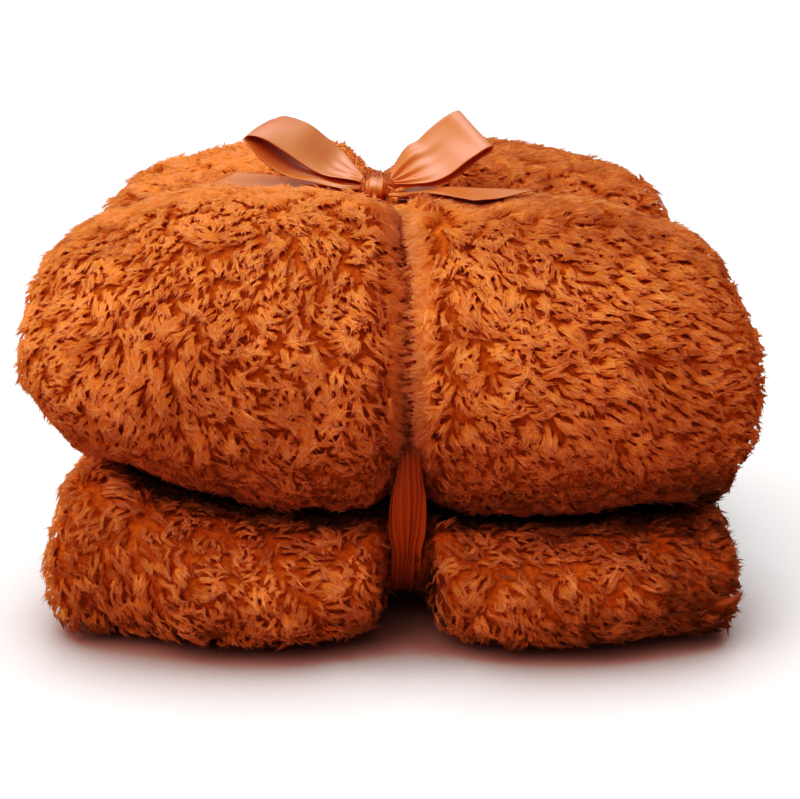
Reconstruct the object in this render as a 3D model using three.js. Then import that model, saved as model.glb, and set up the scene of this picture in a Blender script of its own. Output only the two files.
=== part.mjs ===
// A long-pile teddy fleece blanket, folded into a thick stack and tied crosswise with a satin ribbon and a bow.
// Millimetres, +Z up, the front of the stack faces -Y, the origin is the middle of its underside.
import * as THREE from "three";

// ---------------------------------------------------------------- driving sizes
const PLY = 13.4; // one layer of the cloth, backing and pile on both faces
const PLY_GAP = 1.8; // between two layers that lie on each other
const PITCH = PLY + PLY_GAP;
const STRIP = 3 * PITCH; // the cloth is first folded in three across, so a strip is three layers
const STRIPS = 6; // and then in six along
const LOOSE_TOP = STRIPS * STRIP - PLY_GAP; // height of the untied stack
const CROSS_FOLD = 209; // where the folds across start, to either side of the middle
const HALF_WIDTH = CROSS_FOLD + PITCH + PLY / 2; // of the untied stack

const RIBBON = 1.2; // thickness of the satin ribbon, 38 mm wide where it lies open
const BAND_WIDTH = 17; // and where it is gathered in its groove
const BAND_LIP = 2; // its edges turn up this much there
const GROOVE_FLAT = 10.5; // half the floor of the groove that a band lies in
const STEEP = 16; // how wide a groove's wall is where the cloth closes over the ribbon
const CLEAR = 0.6; // between a band and the cloth

// ---------------------------------------------------------------- tables
// The folds along the cloth, in the order that the cloth runs through them: the levels of the strips that a turn
// joins (0 is the lowest), and how far forward or back its centre lies. The two free ends lie on top of each other.
const FOLDS = [
  { fold: "free end, on top", from: 5, centre: 163 },
  { fold: "front, outside of the upper roll", from: 5, to: 2, centre: -92, steps: 5 },
  { fold: "back, inside", from: 2, to: 1, centre: 97, steps: 5 },
  { fold: "front, lower roll", from: 1, to: 0, centre: -130, steps: 4 },
  { fold: "back, outside", from: 0, to: 3, centre: 97, steps: 5 },
  { fold: "front, inside of the upper roll", from: 3, to: 4, centre: -92, steps: 5 },
  { fold: "free end, under the first", from: 4, centre: 158 },
];
// Where the straight runs are divided.
const DEPTH_STATIONS = [-92, -52, -GROOVE_FLAT, GROOVE_FLAT, 55, 97, 130];
const WIDTH_STATIONS = [-166, -88, -25, -GROOVE_FLAT, GROOVE_FLAT, 25, 88, 166];

// Height of the tied stack's layers against the untied ones: the lower two strips carry the rest and are flatter.
// Their ends swell between the upper roll and the table, most at the left.
const SETTLED = 77;
const SWELL = [
  { width: -232, more: 46 },
  { width: -190, more: 35 },
  { width: -130, more: 10 },
  { width: -80, more: 0 },
  { width: 0, more: 0 },
  { width: 90, more: 0 },
  { width: 170, more: 5 },
  { width: 232, more: 14 },
];
// How far the sides reach at each height.
const SIDES = [
  { height: 0, left: 208, right: 208 },
  { height: 22, left: 220, right: 221 },
  { height: 50, left: 221, right: 223 },
  { height: 84, left: 214, right: 214 },
  { height: 115, left: 208, right: 220 },
  { height: 150, left: 218, right: 229 },
  { height: 185, left: 226, right: 229 },
  { height: 220, left: 222, right: 216 },
  { height: 250, left: 206, right: 197 },
  { height: 276, left: 180, right: 172 },
];
// The same, as a share, from the front to the back.
const PLAN = [
  { depth: -188, share: 0.9 },
  { depth: -150, share: 0.975 },
  { depth: -95, share: 1 },
  { depth: 0, share: 0.985 },
  { depth: 90, share: 0.93 },
  { depth: 140, share: 0.89 },
  { depth: 188, share: 0.8 },
];
// Top of the lobes at the left and at the right, how far they fall to the edge, and how deep the ribbon lies in
// them, from the front to the back.
const TOP = [
  { depth: -188, left: 263, right: 260, edge: 24, groove: 12 },
  { depth: -95, left: 280, right: 273, edge: 24, groove: 18 },
  { depth: 0, left: 273, right: 269, edge: 22, groove: 14 },
  { depth: 95, left: 282, right: 281, edge: 15, groove: 24 },
  { depth: 188, left: 270, right: 270, edge: 15, groove: 16 },
];
// How much of its reach the stack loses in the lengthwise groove, at the front and at the back.
const GROOVE_FRONT_BACK = [
  { height: 0, front: 0.42, back: 0.2 },
  { height: 30, front: 0.36, back: 0.17 },
  { height: 60, front: 0.26, back: 0.13 },
  { height: 92, front: 0.19, back: 0.11 },
  { height: 150, front: 0.11, back: 0.1 },
  { height: 210, front: 0.09, back: 0.09 },
  { height: 276, front: 0.08, back: 0.08 },
];
// And in the crosswise groove, at the left and at the right.
const GROOVE_SIDES = [
  { height: 0, left: 0.15, right: 0.15 },
  { height: 90, left: 0.1, right: 0.1 },
  { height: 180, left: 0.1, right: 0.1 },
  { height: 276, left: 0.02, right: 0.02 },
];
// The lengthwise band runs a little askew.
const BAND_LINE = [
  { depth: -188, middle: 11 },
  { depth: -95, middle: 4 },
  { depth: 0, middle: -12 },
  { depth: 95, middle: -14 },
  { depth: 188, middle: -14 },
];

// ---------------------------------------------------------------- small tools
const smooth = (t) => {
  const c = Math.min(1, Math.max(0, t));
  return c * c * (3 - 2 * c);
};
// A smooth curve through a table's rows, level at its ends and never past its rows.
function read(table, key, column, at) {
  const last = table.length - 1;
  if (at <= table[0][key]) return table[0][column];
  if (at >= table[last][key]) return table[last][column];
  let i = 0;
  while (at > table[i + 1][key]) i++;
  const slope = (j) =>
    (table[j + 1][column] - table[j][column]) / (table[j + 1][key] - table[j][key]);
  const turn = (j) => {
    if (j <= 0) return slope(0);
    if (j >= last) return slope(last - 1);
    const a = slope(j - 1),
      b = slope(j);
    return a * b <= 0 ? 0 : (2 * a * b) / (a + b);
  };
  const w = table[i + 1][key] - table[i][key],
    t = (at - table[i][key]) / w;
  return (
    table[i][column] * (1 + 2 * t) * (1 - t) ** 2 +
    table[i + 1][column] * t * t * (3 - 2 * t) +
    turn(i) * w * t * (1 - t) ** 2 -
    turn(i + 1) * w * t * t * (1 - t)
  );
}
// A groove's section: full depth on its floor, a wall that is so wide, and a soft shoulder.
const groove = (off, shoulder, wall = 36) => {
  const d = Math.abs(off) - GROOVE_FLAT;
  return 1 - 0.74 * smooth(d / wall) - 0.26 * smooth(d / shoulder);
};

// ---------------------------------------------------------------- from the untied stack to the tied one
function tie(x, y, z) {
  // 1. heights
  const across = Math.abs(x) / HALF_WIDTH,
    edge = read(TOP, "depth", "edge", y) * smooth((across - 0.5) / 0.5) ** 1.5,
    beside = Math.sign(x) * Math.max(0, Math.abs(x) - GROOVE_FLAT),
    toRight = smooth((beside + 70) / 140),
    lobe =
      read(TOP, "depth", "left", y) * (1 - toRight) + read(TOP, "depth", "right", y) * toRight - edge,
    // at the front the cloth closes over the ribbon, at the back the groove is an open V
    wall = STEEP + (36 - STEEP) * smooth((y + 110) / 150),
    lengthwise = read(TOP, "depth", "groove", y) * groove(x, 95, wall),
    crosswise = 17 * groove(y, 62) * (1 - 0.3 * across),
    dip = Math.max(lengthwise, crosswise) + 0.25 * Math.min(lengthwise, crosswise),
    lift = 12 * (1 - (1 - groove(x, 40)) * (1 - groove(y, 40))),
    top = lobe - dip;
  const low = (SETTLED + read(SWELL, "width", "more", x) * (y < 0 ? 1 : 0.8)) / 272,
    settled =
      z < 2 * STRIP
        ? (low * z) / (2 * STRIP)
        : low + ((1 - low) * (z - 2 * STRIP)) / (LOOSE_TOP - 2 * STRIP);
  const h = lift * (1 - settled) + settled * top;
  // 2. front and back
  const corner = smooth((across - 0.3) / 0.7),
    side = y < 0 ? "front" : "back",
    pulled = read(GROOVE_FRONT_BACK, "height", side, h) * groove(x, y < 0 ? 80 : 70, wall),
    rounded = (y < 0 ? 0.13 : 0.17) * corner ** 1.6,
    d = y * (1 - pulled) * (1 - rounded);
  // 3. left and right
  const hand = x < 0 ? "left" : "right",
    reach =
      (read(SIDES, "height", hand, h) / HALF_WIDTH) *
      read(PLAN, "depth", "share", d) *
      (1 - read(GROOVE_SIDES, "height", hand, h) * groove(d, 62)),
    line = read(BAND_LINE, "depth", "middle", d),
    w = x * reach + line * (1 - Math.abs(x) / HALF_WIDTH);
  return new THREE.Vector3(w, d, h);
}

// ---------------------------------------------------------------- the folded cloth
const levelHeight = (k) => PLY / 2 + PITCH + k * STRIP;

// The run along the cloth: place and outward normal of each station, in the depth-height plane.
function runAlong() {
  const run = [];
  const add = (y, z, ny, nz, way) => run.push({ y, z, ny, nz, way });
  for (let i = 0; i < FOLDS.length; i++) {
    const f = FOLDS[i];
    if (f.to === undefined && i === 0) continue;
    const before = FOLDS[i - 1],
      level = before.to === undefined ? before.from : before.to,
      z = levelHeight(level),
      forward = f.centre < before.centre,
      lo = Math.min(before.centre, f.centre),
      hi = Math.max(before.centre, f.centre),
      inner = DEPTH_STATIONS.filter((s) => s > lo + 1 && s < hi - 1);
    const ys = [lo, ...inner, hi];
    if (forward) ys.reverse();
    for (const y of ys) add(y, z, 0, forward ? 1 : -1, forward ? 1 : -1);
    if (f.to === undefined) continue;
    // the turn: forward and down, forward and up, or back and up or down
    const zc = (levelHeight(f.from) + levelHeight(f.to)) / 2,
      r = Math.abs(levelHeight(f.from) - levelHeight(f.to)) / 2,
      down = f.to < f.from ? 1 : -1,
      out = f.centre < 0 ? -1 : 1;
    for (let s = 1; s < f.steps; s++) {
      const a = (Math.PI * s) / f.steps,
        cy = out * Math.sin(a),
        cz = down * Math.cos(a),
        // the normal points out of a turn that the outer face runs round, else into it
        sign = (down > 0) === out < 0 ? 1 : -1;
      add(f.centre + r * cy, zc + r * cz, sign * cy, sign * cz, down);
    }
  }
  return run;
}
// The run across the cloth, through one strip: place and outer normal, in the width-thickness plane.
function runAcross() {
  const run = [];
  const add = (x, n, ax, an, layer) => run.push({ x, n, ax, an, layer });
  const turn = (cx, cn, r, from, steps, layer) => {
    for (let s = 1; s < steps; s++) {
      const a = from + (from < 0 ? 1 : 1) * ((Math.PI * s) / steps);
      add(cx + r * Math.cos(a), cn + r * Math.sin(a), Math.cos(a), Math.sin(a), layer);
    }
  };
  // the third that lies inside: its free edge is tucked into the left fold
  add(-CROSS_FOLD + 3, 0, 0, -1, 0);
  for (const x of WIDTH_STATIONS) add(x, 0, 0, -1, 0);
  add(CROSS_FOLD, 0, 0, -1, 0);
  turn(CROSS_FOLD, PITCH / 2, PITCH / 2, -Math.PI / 2, 3, 0.5);
  // the middle third lies outside
  add(CROSS_FOLD, PITCH, 0, 1, 1);
  for (const x of [...WIDTH_STATIONS].reverse()) add(x, PITCH, 0, 1, 1);
  add(-CROSS_FOLD, PITCH, 0, 1, 1);
  turn(-CROSS_FOLD, 0, PITCH, Math.PI / 2, 4, 1.5);
  // and the last third runs back under both
  add(-CROSS_FOLD, -PITCH, 0, -1, 2);
  for (const x of WIDTH_STATIONS) add(x, -PITCH, 0, -1, 2);
  add(CROSS_FOLD + 8, -PITCH, 0, -1, 2);
  return run;
}

// A closed thin solid between two equal grids of points. Layers that lie on each other are divided alike, so each
// quad's diagonal is chosen by the way in which the cloth runs there.
function sheetSolid(outer, inner, diagonal = () => true) {
  const rows = outer.length,
    cols = outer[0].length,
    points = [],
    faces = [];
  const at = (face, r, c) => face * rows * cols + r * cols + c;
  for (const grid of [outer, inner])
    for (const row of grid) for (const p of row) points.push(p.x, p.y, p.z);
  const quad = (a, b, c, d) => faces.push(a, b, c, a, c, d);
  for (let r = 0; r + 1 < rows; r++)
    for (let c = 0; c + 1 < cols; c++) {
      if (diagonal(r, c)) {
        quad(at(0, r, c), at(0, r + 1, c), at(0, r + 1, c + 1), at(0, r, c + 1));
        quad(at(1, r + 1, c + 1), at(1, r + 1, c), at(1, r, c), at(1, r, c + 1));
      } else {
        quad(at(0, r + 1, c), at(0, r + 1, c + 1), at(0, r, c + 1), at(0, r, c));
        quad(at(1, r + 1, c), at(1, r, c), at(1, r, c + 1), at(1, r + 1, c + 1));
      }
    }
  for (let c = 0; c + 1 < cols; c++) {
    quad(at(0, 0, c), at(0, 0, c + 1), at(1, 0, c + 1), at(1, 0, c));
    quad(at(0, rows - 1, c + 1), at(0, rows - 1, c), at(1, rows - 1, c), at(1, rows - 1, c + 1));
  }
  for (let r = 0; r + 1 < rows; r++) {
    quad(at(0, r + 1, 0), at(0, r, 0), at(1, r, 0), at(1, r + 1, 0));
    quad(at(0, r, cols - 1), at(0, r + 1, cols - 1), at(1, r + 1, cols - 1), at(1, r, cols - 1));
  }
  const g = new THREE.BufferGeometry();
  g.setAttribute("position", new THREE.Float32BufferAttribute(points, 3));
  g.setIndex(faces);
  return faceOut(g);
}
function faceOut(g) {
  const p = g.getAttribute("position"),
    ix = g.getIndex().array,
    a = new THREE.Vector3(),
    b = new THREE.Vector3(),
    c = new THREE.Vector3();
  let volume = 0;
  for (let i = 0; i < ix.length; i += 3) {
    a.fromBufferAttribute(p, ix[i]);
    b.fromBufferAttribute(p, ix[i + 1]);
    c.fromBufferAttribute(p, ix[i + 2]);
    volume += a.dot(b.cross(c));
  }
  if (volume < 0)
    for (let i = 0; i < ix.length; i += 3) [ix[i + 1], ix[i + 2]] = [ix[i + 2], ix[i + 1]];
  g.computeVertexNormals();
  return g;
}

const along = runAlong(),
  across = runAcross();
const clothPoint = (v, u, face) => {
  const n = u.n + ((face * PLY) / 2) * u.an,
    x = u.x + ((face * PLY) / 2) * u.ax;
  return tie(x, v.y + n * v.ny, v.z + n * v.nz);
};
const grid = (face) => along.map((v) => across.map((u) => clothPoint(v, u, face)));
const outerFace = grid(1),
  innerFace = grid(-1);
const goes = (list, i, key) => Math.sign(list[i + 1][key] - list[i][key]) || 1;
const blanketShape = sheetSolid(
  outerFace,
  innerFace,
  (r, c) => along[r].way * goes(across, c, "x") > 0,
);

// ---------------------------------------------------------------- the two bands
// A band is pulled tight, so it runs on the convex hull of the cloth under it.
function hull(points) {
  const p = [...points].sort((a, b) => a.s - b.s || a.t - b.t);
  const half = (list) => {
    const out = [];
    for (const q of list) {
      while (
        out.length > 1 &&
        (out.at(-1).s - out.at(-2).s) * (q.t - out.at(-2).t) -
          (out.at(-1).t - out.at(-2).t) * (q.s - out.at(-2).s) <=
          1e-9
      )
        out.pop();
      out.push(q);
    }
    out.pop();
    return out;
  };
  return [...half(p), ...half(p.reverse())]; // anticlockwise
}
// Corners of the hull pushed out by a distance, with a gap at the knot, from one side of it round to the other.
function tautPath(points, out, knotHalf, knotMiddle, top) {
  const h = hull(points),
    n = h.length,
    pushed = h.map((q, i) => {
      const a = h[(i + n - 1) % n],
        b = h[(i + 1) % n],
        d1 = new THREE.Vector2(q.s - a.s, q.t - a.t).normalize(),
        d2 = new THREE.Vector2(b.s - q.s, b.t - q.t).normalize(),
        n1 = new THREE.Vector2(d1.y, -d1.x),
        n2 = new THREE.Vector2(d2.y, -d2.x),
        m = n1.clone().add(n2).normalize();
      return { s: q.s + (m.x * out) / m.dot(n1), t: q.t + (m.y * out) / m.dot(n1) };
    });
  // two corners that nearly touch become the one in which the sides beyond them meet
  const kept = [...pushed];
  for (let i = 0; i < kept.length && kept.length > 8; ) {
    const m = kept.length,
      [a, b, c, d] = [i + m - 1, i, i + 1, i + 2].map((k) => kept[k % m]);
    const e = { s: b.s - a.s, t: b.t - a.t },
      f = { s: d.s - c.s, t: d.t - c.t },
      cross = e.s * f.t - e.t * f.s;
    if (Math.hypot(c.s - b.s, c.t - b.t) > 5 || Math.abs(cross) < 1e-6) {
      i++;
      continue;
    }
    const k = ((c.s - a.s) * f.t - (c.t - a.t) * f.s) / cross;
    kept[i] = { s: a.s + k * e.s, t: a.t + k * e.t };
    kept.splice((i + 1) % m, 1);
    i = 0;
  }
  // it starts after the knot and ends before it
  const heightAt = (s) => {
    let best = -Infinity;
    kept.forEach((q, i) => {
      const b = kept[(i + 1) % kept.length];
      if ((q.s - s) * (b.s - s) <= 0 && q.s !== b.s)
        best = Math.max(best, q.t + ((s - q.s) / (b.s - q.s)) * (b.t - q.t));
    });
    return best;
  };
  const angle = (q) => {
    const a = Math.atan2(q.t - top / 2, q.s - knotMiddle) - Math.PI / 2;
    return (a + 4 * Math.PI) % (2 * Math.PI);
  };
  const ring = kept
    .filter((q) => q.t < top / 2 || Math.abs(q.s - knotMiddle) > knotHalf + 3)
    .sort((a, b) => angle(a) - angle(b));
  const left = { s: knotMiddle - knotHalf, t: heightAt(knotMiddle - knotHalf) },
    right = { s: knotMiddle + knotHalf, t: heightAt(knotMiddle + knotHalf) };
  return [left, ...ring, right];
}
// The same path with its long sides divided.
const divided = (path, most) =>
  path.flatMap((q, i) => {
    const b = path[i + 1];
    if (!b) return [q];
    const n = Math.ceil(Math.abs(b.s - q.s) / most) || 1;
    return Array.from({ length: n }, (_, k) => ({
      s: q.s + (k / n) * (b.s - q.s),
      t: q.t + (k / n) * (b.t - q.t),
    }));
  });
// The outward normal at each point of an open path in a plane (the path runs anticlockwise).
function normals(path) {
  return path.map((q, i) => {
    const a = path[Math.max(0, i - 1)],
      b = path[Math.min(path.length - 1, i + 1)],
      d = new THREE.Vector2(b.s - a.s, b.t - a.t).normalize();
    return new THREE.Vector2(d.y, -d.x);
  });
}
const BAND_SECTION = [
  { off: -1, lip: 1 },
  { off: -0.78, lip: 0 },
  { off: 0.78, lip: 0 },
  { off: 1, lip: 1 },
];
function band(path, place, flatBelow, drop) {
  const nrm = normals(path);
  const face = (out) =>
    path.map((q, i) =>
      BAND_SECTION.map((c) => {
        const lip = c.lip * BAND_LIP * (q.t < flatBelow ? 0.15 : 1) + out;
        return place(
          (c.off * BAND_WIDTH) / 2,
          q.s + nrm[i].x * lip,
          q.t + nrm[i].y * lip - (q.t < flatBelow ? drop : 0),
        );
      }),
    );
  return sheetSolid(face(RIBBON), face(0));
}

const KNOT = new THREE.Vector3(-13, 0, 263);
const middleLine = (y) => read(BAND_LINE, "depth", "middle", y);
// cloth points on the groove floors
const lengthPoints = [],
  crossPoints = [];
outerFace.forEach((row, i) =>
  row.forEach((p, j) => {
    const u = across[j];
    if (Math.abs(u.x) <= GROOVE_FLAT + 0.1) lengthPoints.push({ s: p.y, t: p.z });
  }),
);
innerFace.forEach((row) =>
  row.forEach((p, j) => {
    if (Math.abs(across[j].x) <= GROOVE_FLAT + 0.1) lengthPoints.push({ s: p.y, t: p.z });
  }),
);
[outerFace, innerFace].forEach((face) =>
  face.forEach((row, i) => {
    if (Math.abs(along[i].y) <= GROOVE_FLAT + 0.1)
      row.forEach((p) => crossPoints.push({ s: p.x, t: p.z }));
  }),
);
const lengthPath = divided(tautPath(lengthPoints, CLEAR, 15, KNOT.y, 270), 50);
const crossPath = tautPath(crossPoints, CLEAR, 15, KNOT.x, 270);
const lengthBand = band(
  lengthPath,
  (off, s, t) => new THREE.Vector3(middleLine(s) + off, s, t),
  30,
  0,
);
const crossBand = band(
  crossPath,
  (off, s, t) => new THREE.Vector3(s, off, t),
  30,
  2.2,
);

// ---------------------------------------------------------------- the bow
// A strip of ribbon between its two edges. Each row of a table gives a point of the near edge, from the knot's own
// middle, and the way across to the far edge.
function ribbonStrip(rows, steps) {
  const edge = (over) =>
    new THREE.CatmullRomCurve3(
      rows.map(
        (r) =>
          new THREE.Vector3(
            KNOT.x + r.x + over * r.dx,
            KNOT.y + r.y + over * r.dy,
            KNOT.z + r.z + over * r.dz,
          ),
      ),
      false,
      "catmullrom",
      0.5,
    );
  const near = edge(0),
    far = edge(1),
    outer = [],
    inner = [];
  for (let i = 0; i <= steps; i++) {
    const t = i / steps,
      a = near.getPoint(t),
      b = far.getPoint(t),
      d = near.getTangent(t).add(far.getTangent(t)),
      n = new THREE.Vector3()
        .crossVectors(d, b.clone().sub(a))
        .normalize()
        .multiplyScalar(RIBBON / 2);
    outer.push([a.clone().add(n), b.clone().add(n)]);
    inner.push([a.clone().sub(n), b.clone().sub(n)]);
  }
  return sheetSolid(outer, inner);
}

// From the knot along the lower side, round the end of the loop and back along the upper side.
const LOOP_LEFT = [
  { x: -10.5, y: -4, z: 3, dx: 1.5, dy: 9, dz: 2 },
  { x: -18.5, y: -6, z: 3.5, dx: 6, dy: 14.5, dz: 3 },
  { x: -28.5, y: -8, z: 5, dx: 8.5, dy: 22, dz: 5 },
  { x: -41.5, y: -10, z: 8.5, dx: 11.5, dy: 29, dz: 6.5 },
  { x: -59, y: -12, z: 13, dx: 13.5, dy: 34.5, dz: 7.5 },
  { x: -72.5, y: -12, z: 21.5, dx: 13.5, dy: 34.5, dz: 7.5 },
  { x: -81.5, y: -11, z: 30.5, dx: 13.5, dy: 34.5, dz: 7.5 },
  { x: -86, y: -9, z: 36, dx: 13, dy: 35, dz: 7 },
  { x: -82.5, y: -7, z: 38.5, dx: 14, dy: 35, dz: 6.5 },
  { x: -72.5, y: -6, z: 35.5, dx: 12, dy: 34, dz: 11 },
  { x: -59.5, y: -5, z: 27, dx: 14, dy: 32, dz: 14.5 },
  { x: -46, y: -4, z: 17.5, dx: 12.5, dy: 33, dz: 14.5 },
  { x: -35, y: -3, z: 12, dx: 12, dy: 32, dz: 11.5 },
  { x: -25, y: -3, z: 10, dx: 9, dy: 23.5, dz: 6.5 },
  { x: -16, y: -3, z: 8.5, dx: 5, dy: 14, dz: 3 },
  { x: -10, y: -3, z: 7, dx: 1, dy: 8, dz: 1.5 },
];
// The same, here along the back first.
const LOOP_RIGHT = [
  { x: 12, y: -1.5, z: 3.5, dx: -3.5, dy: 8, dz: 0.5 },
  { x: 25, y: -4, z: 4.5, dx: -12.5, dy: 16, dz: 9.5 },
  { x: 39, y: -5, z: 5.5, dx: -17.5, dy: 22, dz: 19.5 },
  { x: 50.5, y: -3, z: 9, dx: -21.5, dy: 22, dz: 19 },
  { x: 62, y: 0.5, z: 16, dx: -25.5, dy: 21, dz: 17.5 },
  { x: 69, y: 3.5, z: 21.5, dx: -25.5, dy: 20, dz: 19 },
  { x: 75, y: 5.5, z: 25, dx: -24, dy: 19, dz: 20.5 },
  { x: 78, y: 4, z: 29.5, dx: -22, dy: 18, dz: 21.5 },
  { x: 74, y: -1, z: 29.5, dx: -24, dy: 19, dz: 20.5 },
  { x: 67.5, y: -4, z: 26, dx: -25.5, dy: 20, dz: 19 },
  { x: 60, y: -7, z: 21.5, dx: -25.5, dy: 21, dz: 17.5 },
  { x: 49, y: -10, z: 13.5, dx: -21.5, dy: 22, dz: 19 },
  { x: 37.5, y: -12, z: 9, dx: -17.5, dy: 22, dz: 19.5 },
  { x: 24.5, y: -10, z: 7.5, dx: -12.5, dy: 16, dz: 9.5 },
  { x: 12, y: -7, z: 7, dx: -3, dy: 7, dz: 1 },
];
const TAIL_LEFT = [
  { x: -11, y: -5, z: -0.5, dx: 1, dy: 12, dz: 0 },
  { x: -29, y: -9, z: 2.5, dx: 1, dy: 25, dz: 0 },
  { x: -47, y: -13, z: 3.5, dx: 2, dy: 33, dz: 1.5 },
  { x: -69, y: -15, z: 5, dx: 2, dy: 37, dz: 3 },
  { x: -100, y: -15, z: 3, dx: 18, dy: 38, dz: 6 },
  { x: -132, y: -14, z: -1, dx: 38, dy: 38, dz: 10.5 },
];
const TAIL_RIGHT = [
  { x: 8.5, y: -12, z: -0.8, dx: 0.5, dy: 10, dz: 0 },
  { x: 17, y: -27, z: 2, dx: 11, dy: 32, dz: 0 },
  { x: 33, y: -50, z: 8, dx: 18, dy: 40, dz: -3.5 },
  { x: 61, y: -92, z: 11, dx: 39, dy: 34, dz: 0 },
];

// The knot: one turn of ribbon wrapped round the middle, as a small pillow.
const KNOT_HALF = new THREE.Vector3(7.3, 11, 8);
function knotShape() {
  const g = new THREE.SphereGeometry(1, 12, 8),
    p = g.getAttribute("position"),
    v = new THREE.Vector3();
  for (let i = 0; i < p.count; i++) {
    v.fromBufferAttribute(p, i);
    const sx = Math.sign(v.x) * Math.abs(v.x) ** 0.8,
      sy = Math.sign(v.y) * Math.abs(v.y) ** 0.8,
      sz = Math.sign(v.z) * Math.abs(v.z) ** 0.8;
    p.setXYZ(
      i,
      KNOT.x + sx * KNOT_HALF.x,
      KNOT.y + sy * KNOT_HALF.y,
      KNOT.z + 2 + sz * KNOT_HALF.z,
    );
  }
  g.deleteAttribute("normal");
  g.deleteAttribute("uv");
  return g;
}

// ---------------------------------------------------------------- the object
const fleece = new THREE.MeshStandardMaterial({ color: 0xcd5a1e, roughness: 0.95, metalness: 0 });
const satin = new THREE.MeshStandardMaterial({ color: 0xdb8f67, roughness: 0.35, metalness: 0 });
const stack = new THREE.Group();
function add(name, geometry, material) {
  const m = new THREE.Mesh(geometry, material.clone());
  m.name = name;
  stack.add(m);
}
add("blanket", blanketShape, fleece);
add("ribbon_band_lengthwise", lengthBand, satin);
add("ribbon_band_crosswise", crossBand, satin);
add("bow_knot", knotShape(), satin);
add("bow_loop_left", ribbonStrip(LOOP_LEFT, 27), satin);
add("bow_loop_right", ribbonStrip(LOOP_RIGHT, 25), satin);
add("ribbon_tail_left", ribbonStrip(TAIL_LEFT, 10), satin);
add("ribbon_tail_right", ribbonStrip(TAIL_RIGHT, 9), satin);

// the origin is the middle of the underside of all of it
const all = new THREE.Box3().setFromObject(stack),
  middle = all.getCenter(new THREE.Vector3());
stack.traverse((o) => {
  if (o.isMesh) o.geometry.translate(-middle.x, -middle.y, -all.min.z);
});

export default stack;
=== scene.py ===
# A long-pile teddy fleece blanket, folded into a stack and tied crosswise with a satin ribbon and a bow.
# Everything is computed in millimetres on the same folds as the solids, and written in metres.
import math

import bpy
import numpy as np
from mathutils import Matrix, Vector
from mathutils.bvhtree import BVHTree


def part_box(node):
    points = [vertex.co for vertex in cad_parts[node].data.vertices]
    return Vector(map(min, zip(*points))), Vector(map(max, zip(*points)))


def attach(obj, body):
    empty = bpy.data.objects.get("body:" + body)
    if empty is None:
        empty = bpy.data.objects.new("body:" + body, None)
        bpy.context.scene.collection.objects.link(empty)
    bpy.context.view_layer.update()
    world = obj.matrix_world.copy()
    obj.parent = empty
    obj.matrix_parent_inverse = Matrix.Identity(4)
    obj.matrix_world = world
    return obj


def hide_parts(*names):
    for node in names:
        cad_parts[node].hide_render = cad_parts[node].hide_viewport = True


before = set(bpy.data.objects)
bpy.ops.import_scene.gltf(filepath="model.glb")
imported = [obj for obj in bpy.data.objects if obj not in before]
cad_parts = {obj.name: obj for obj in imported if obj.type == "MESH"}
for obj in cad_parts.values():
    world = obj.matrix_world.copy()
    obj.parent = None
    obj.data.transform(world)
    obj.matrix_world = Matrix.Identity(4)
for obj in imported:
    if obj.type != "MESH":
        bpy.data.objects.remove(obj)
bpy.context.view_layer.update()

rng = np.random.default_rng(20)
MM = 0.001

# ---------------------------------------------------------------- the sizes and tables of the solids
PLY = 13.4
PLY_GAP = 1.8
PITCH = PLY + PLY_GAP
STRIP = 3 * PITCH
STRIPS = 6
LOOSE_TOP = STRIPS * STRIP - PLY_GAP
CROSS_FOLD = 209.0
HALF_WIDTH = CROSS_FOLD + PITCH + PLY / 2
GROOVE_FLAT = 10.5
STEEP = 16.0
BACKING = 6.0  # thickness of the knitted ground with the dense under-pile on both faces
ROOT = 2.0  # the strands start this far out from the middle of the cloth
RIBBON_THICK = 0.5

FOLDS = [  # from level, to level, centre
    (5, None, 163.0),
    (5, 2, -92.0),
    (2, 1, 97.0),
    (1, 0, -130.0),
    (0, 3, 97.0),
    (3, 4, -92.0),
    (4, None, 158.0),
]
SETTLED = 77.0
SWELL = [(-232, 46), (-190, 35), (-130, 10), (-80, 0), (0, 0), (90, 0), (170, 5), (232, 14)]
SIDE_LEFT = [(0, 208), (22, 220), (50, 221), (84, 214), (115, 208), (150, 218), (185, 226), (220, 222), (250, 206), (276, 180)]
SIDE_RIGHT = [(0, 208), (22, 221), (50, 223), (84, 214), (115, 220), (150, 229), (185, 229), (220, 216), (250, 197), (276, 172)]
PLAN = [(-188, 0.9), (-150, 0.975), (-95, 1), (0, 0.985), (90, 0.93), (140, 0.89), (188, 0.8)]
TOP_LEFT = [(-188, 263), (-95, 280), (0, 273), (95, 282), (188, 270)]
TOP_RIGHT = [(-188, 260), (-95, 273), (0, 269), (95, 281), (188, 270)]
TOP_EDGE = [(-188, 24), (-95, 24), (0, 22), (95, 15), (188, 15)]
TOP_GROOVE = [(-188, 12), (-95, 18), (0, 14), (95, 24), (188, 16)]
PULL_FRONT = [(0, 0.42), (30, 0.36), (60, 0.26), (92, 0.19), (150, 0.11), (210, 0.09), (276, 0.08)]
PULL_BACK = [(0, 0.2), (30, 0.17), (60, 0.13), (92, 0.11), (150, 0.1), (210, 0.09), (276, 0.08)]
PULL_SIDE = [(0, 0.15), (90, 0.1), (180, 0.1), (276, 0.02)]
BAND_LINE = [(-188, 11), (-95, 4), (0, -12), (95, -14), (188, -14)]

KNOT_CAD = np.array([-13.0, 0.0, 263.0])
_lo, _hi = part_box("bow_knot")
# the solids are moved so that their box stands on the origin: the knot says by how much
SHIFT = np.array([(_lo[0] + _hi[0]) / 2 / MM - KNOT_CAD[0], (_lo[1] + _hi[1]) / 2 / MM - KNOT_CAD[1], 0.0])


def smooth(t):
    c = np.clip(t, 0.0, 1.0)
    return c * c * (3 - 2 * c)


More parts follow.
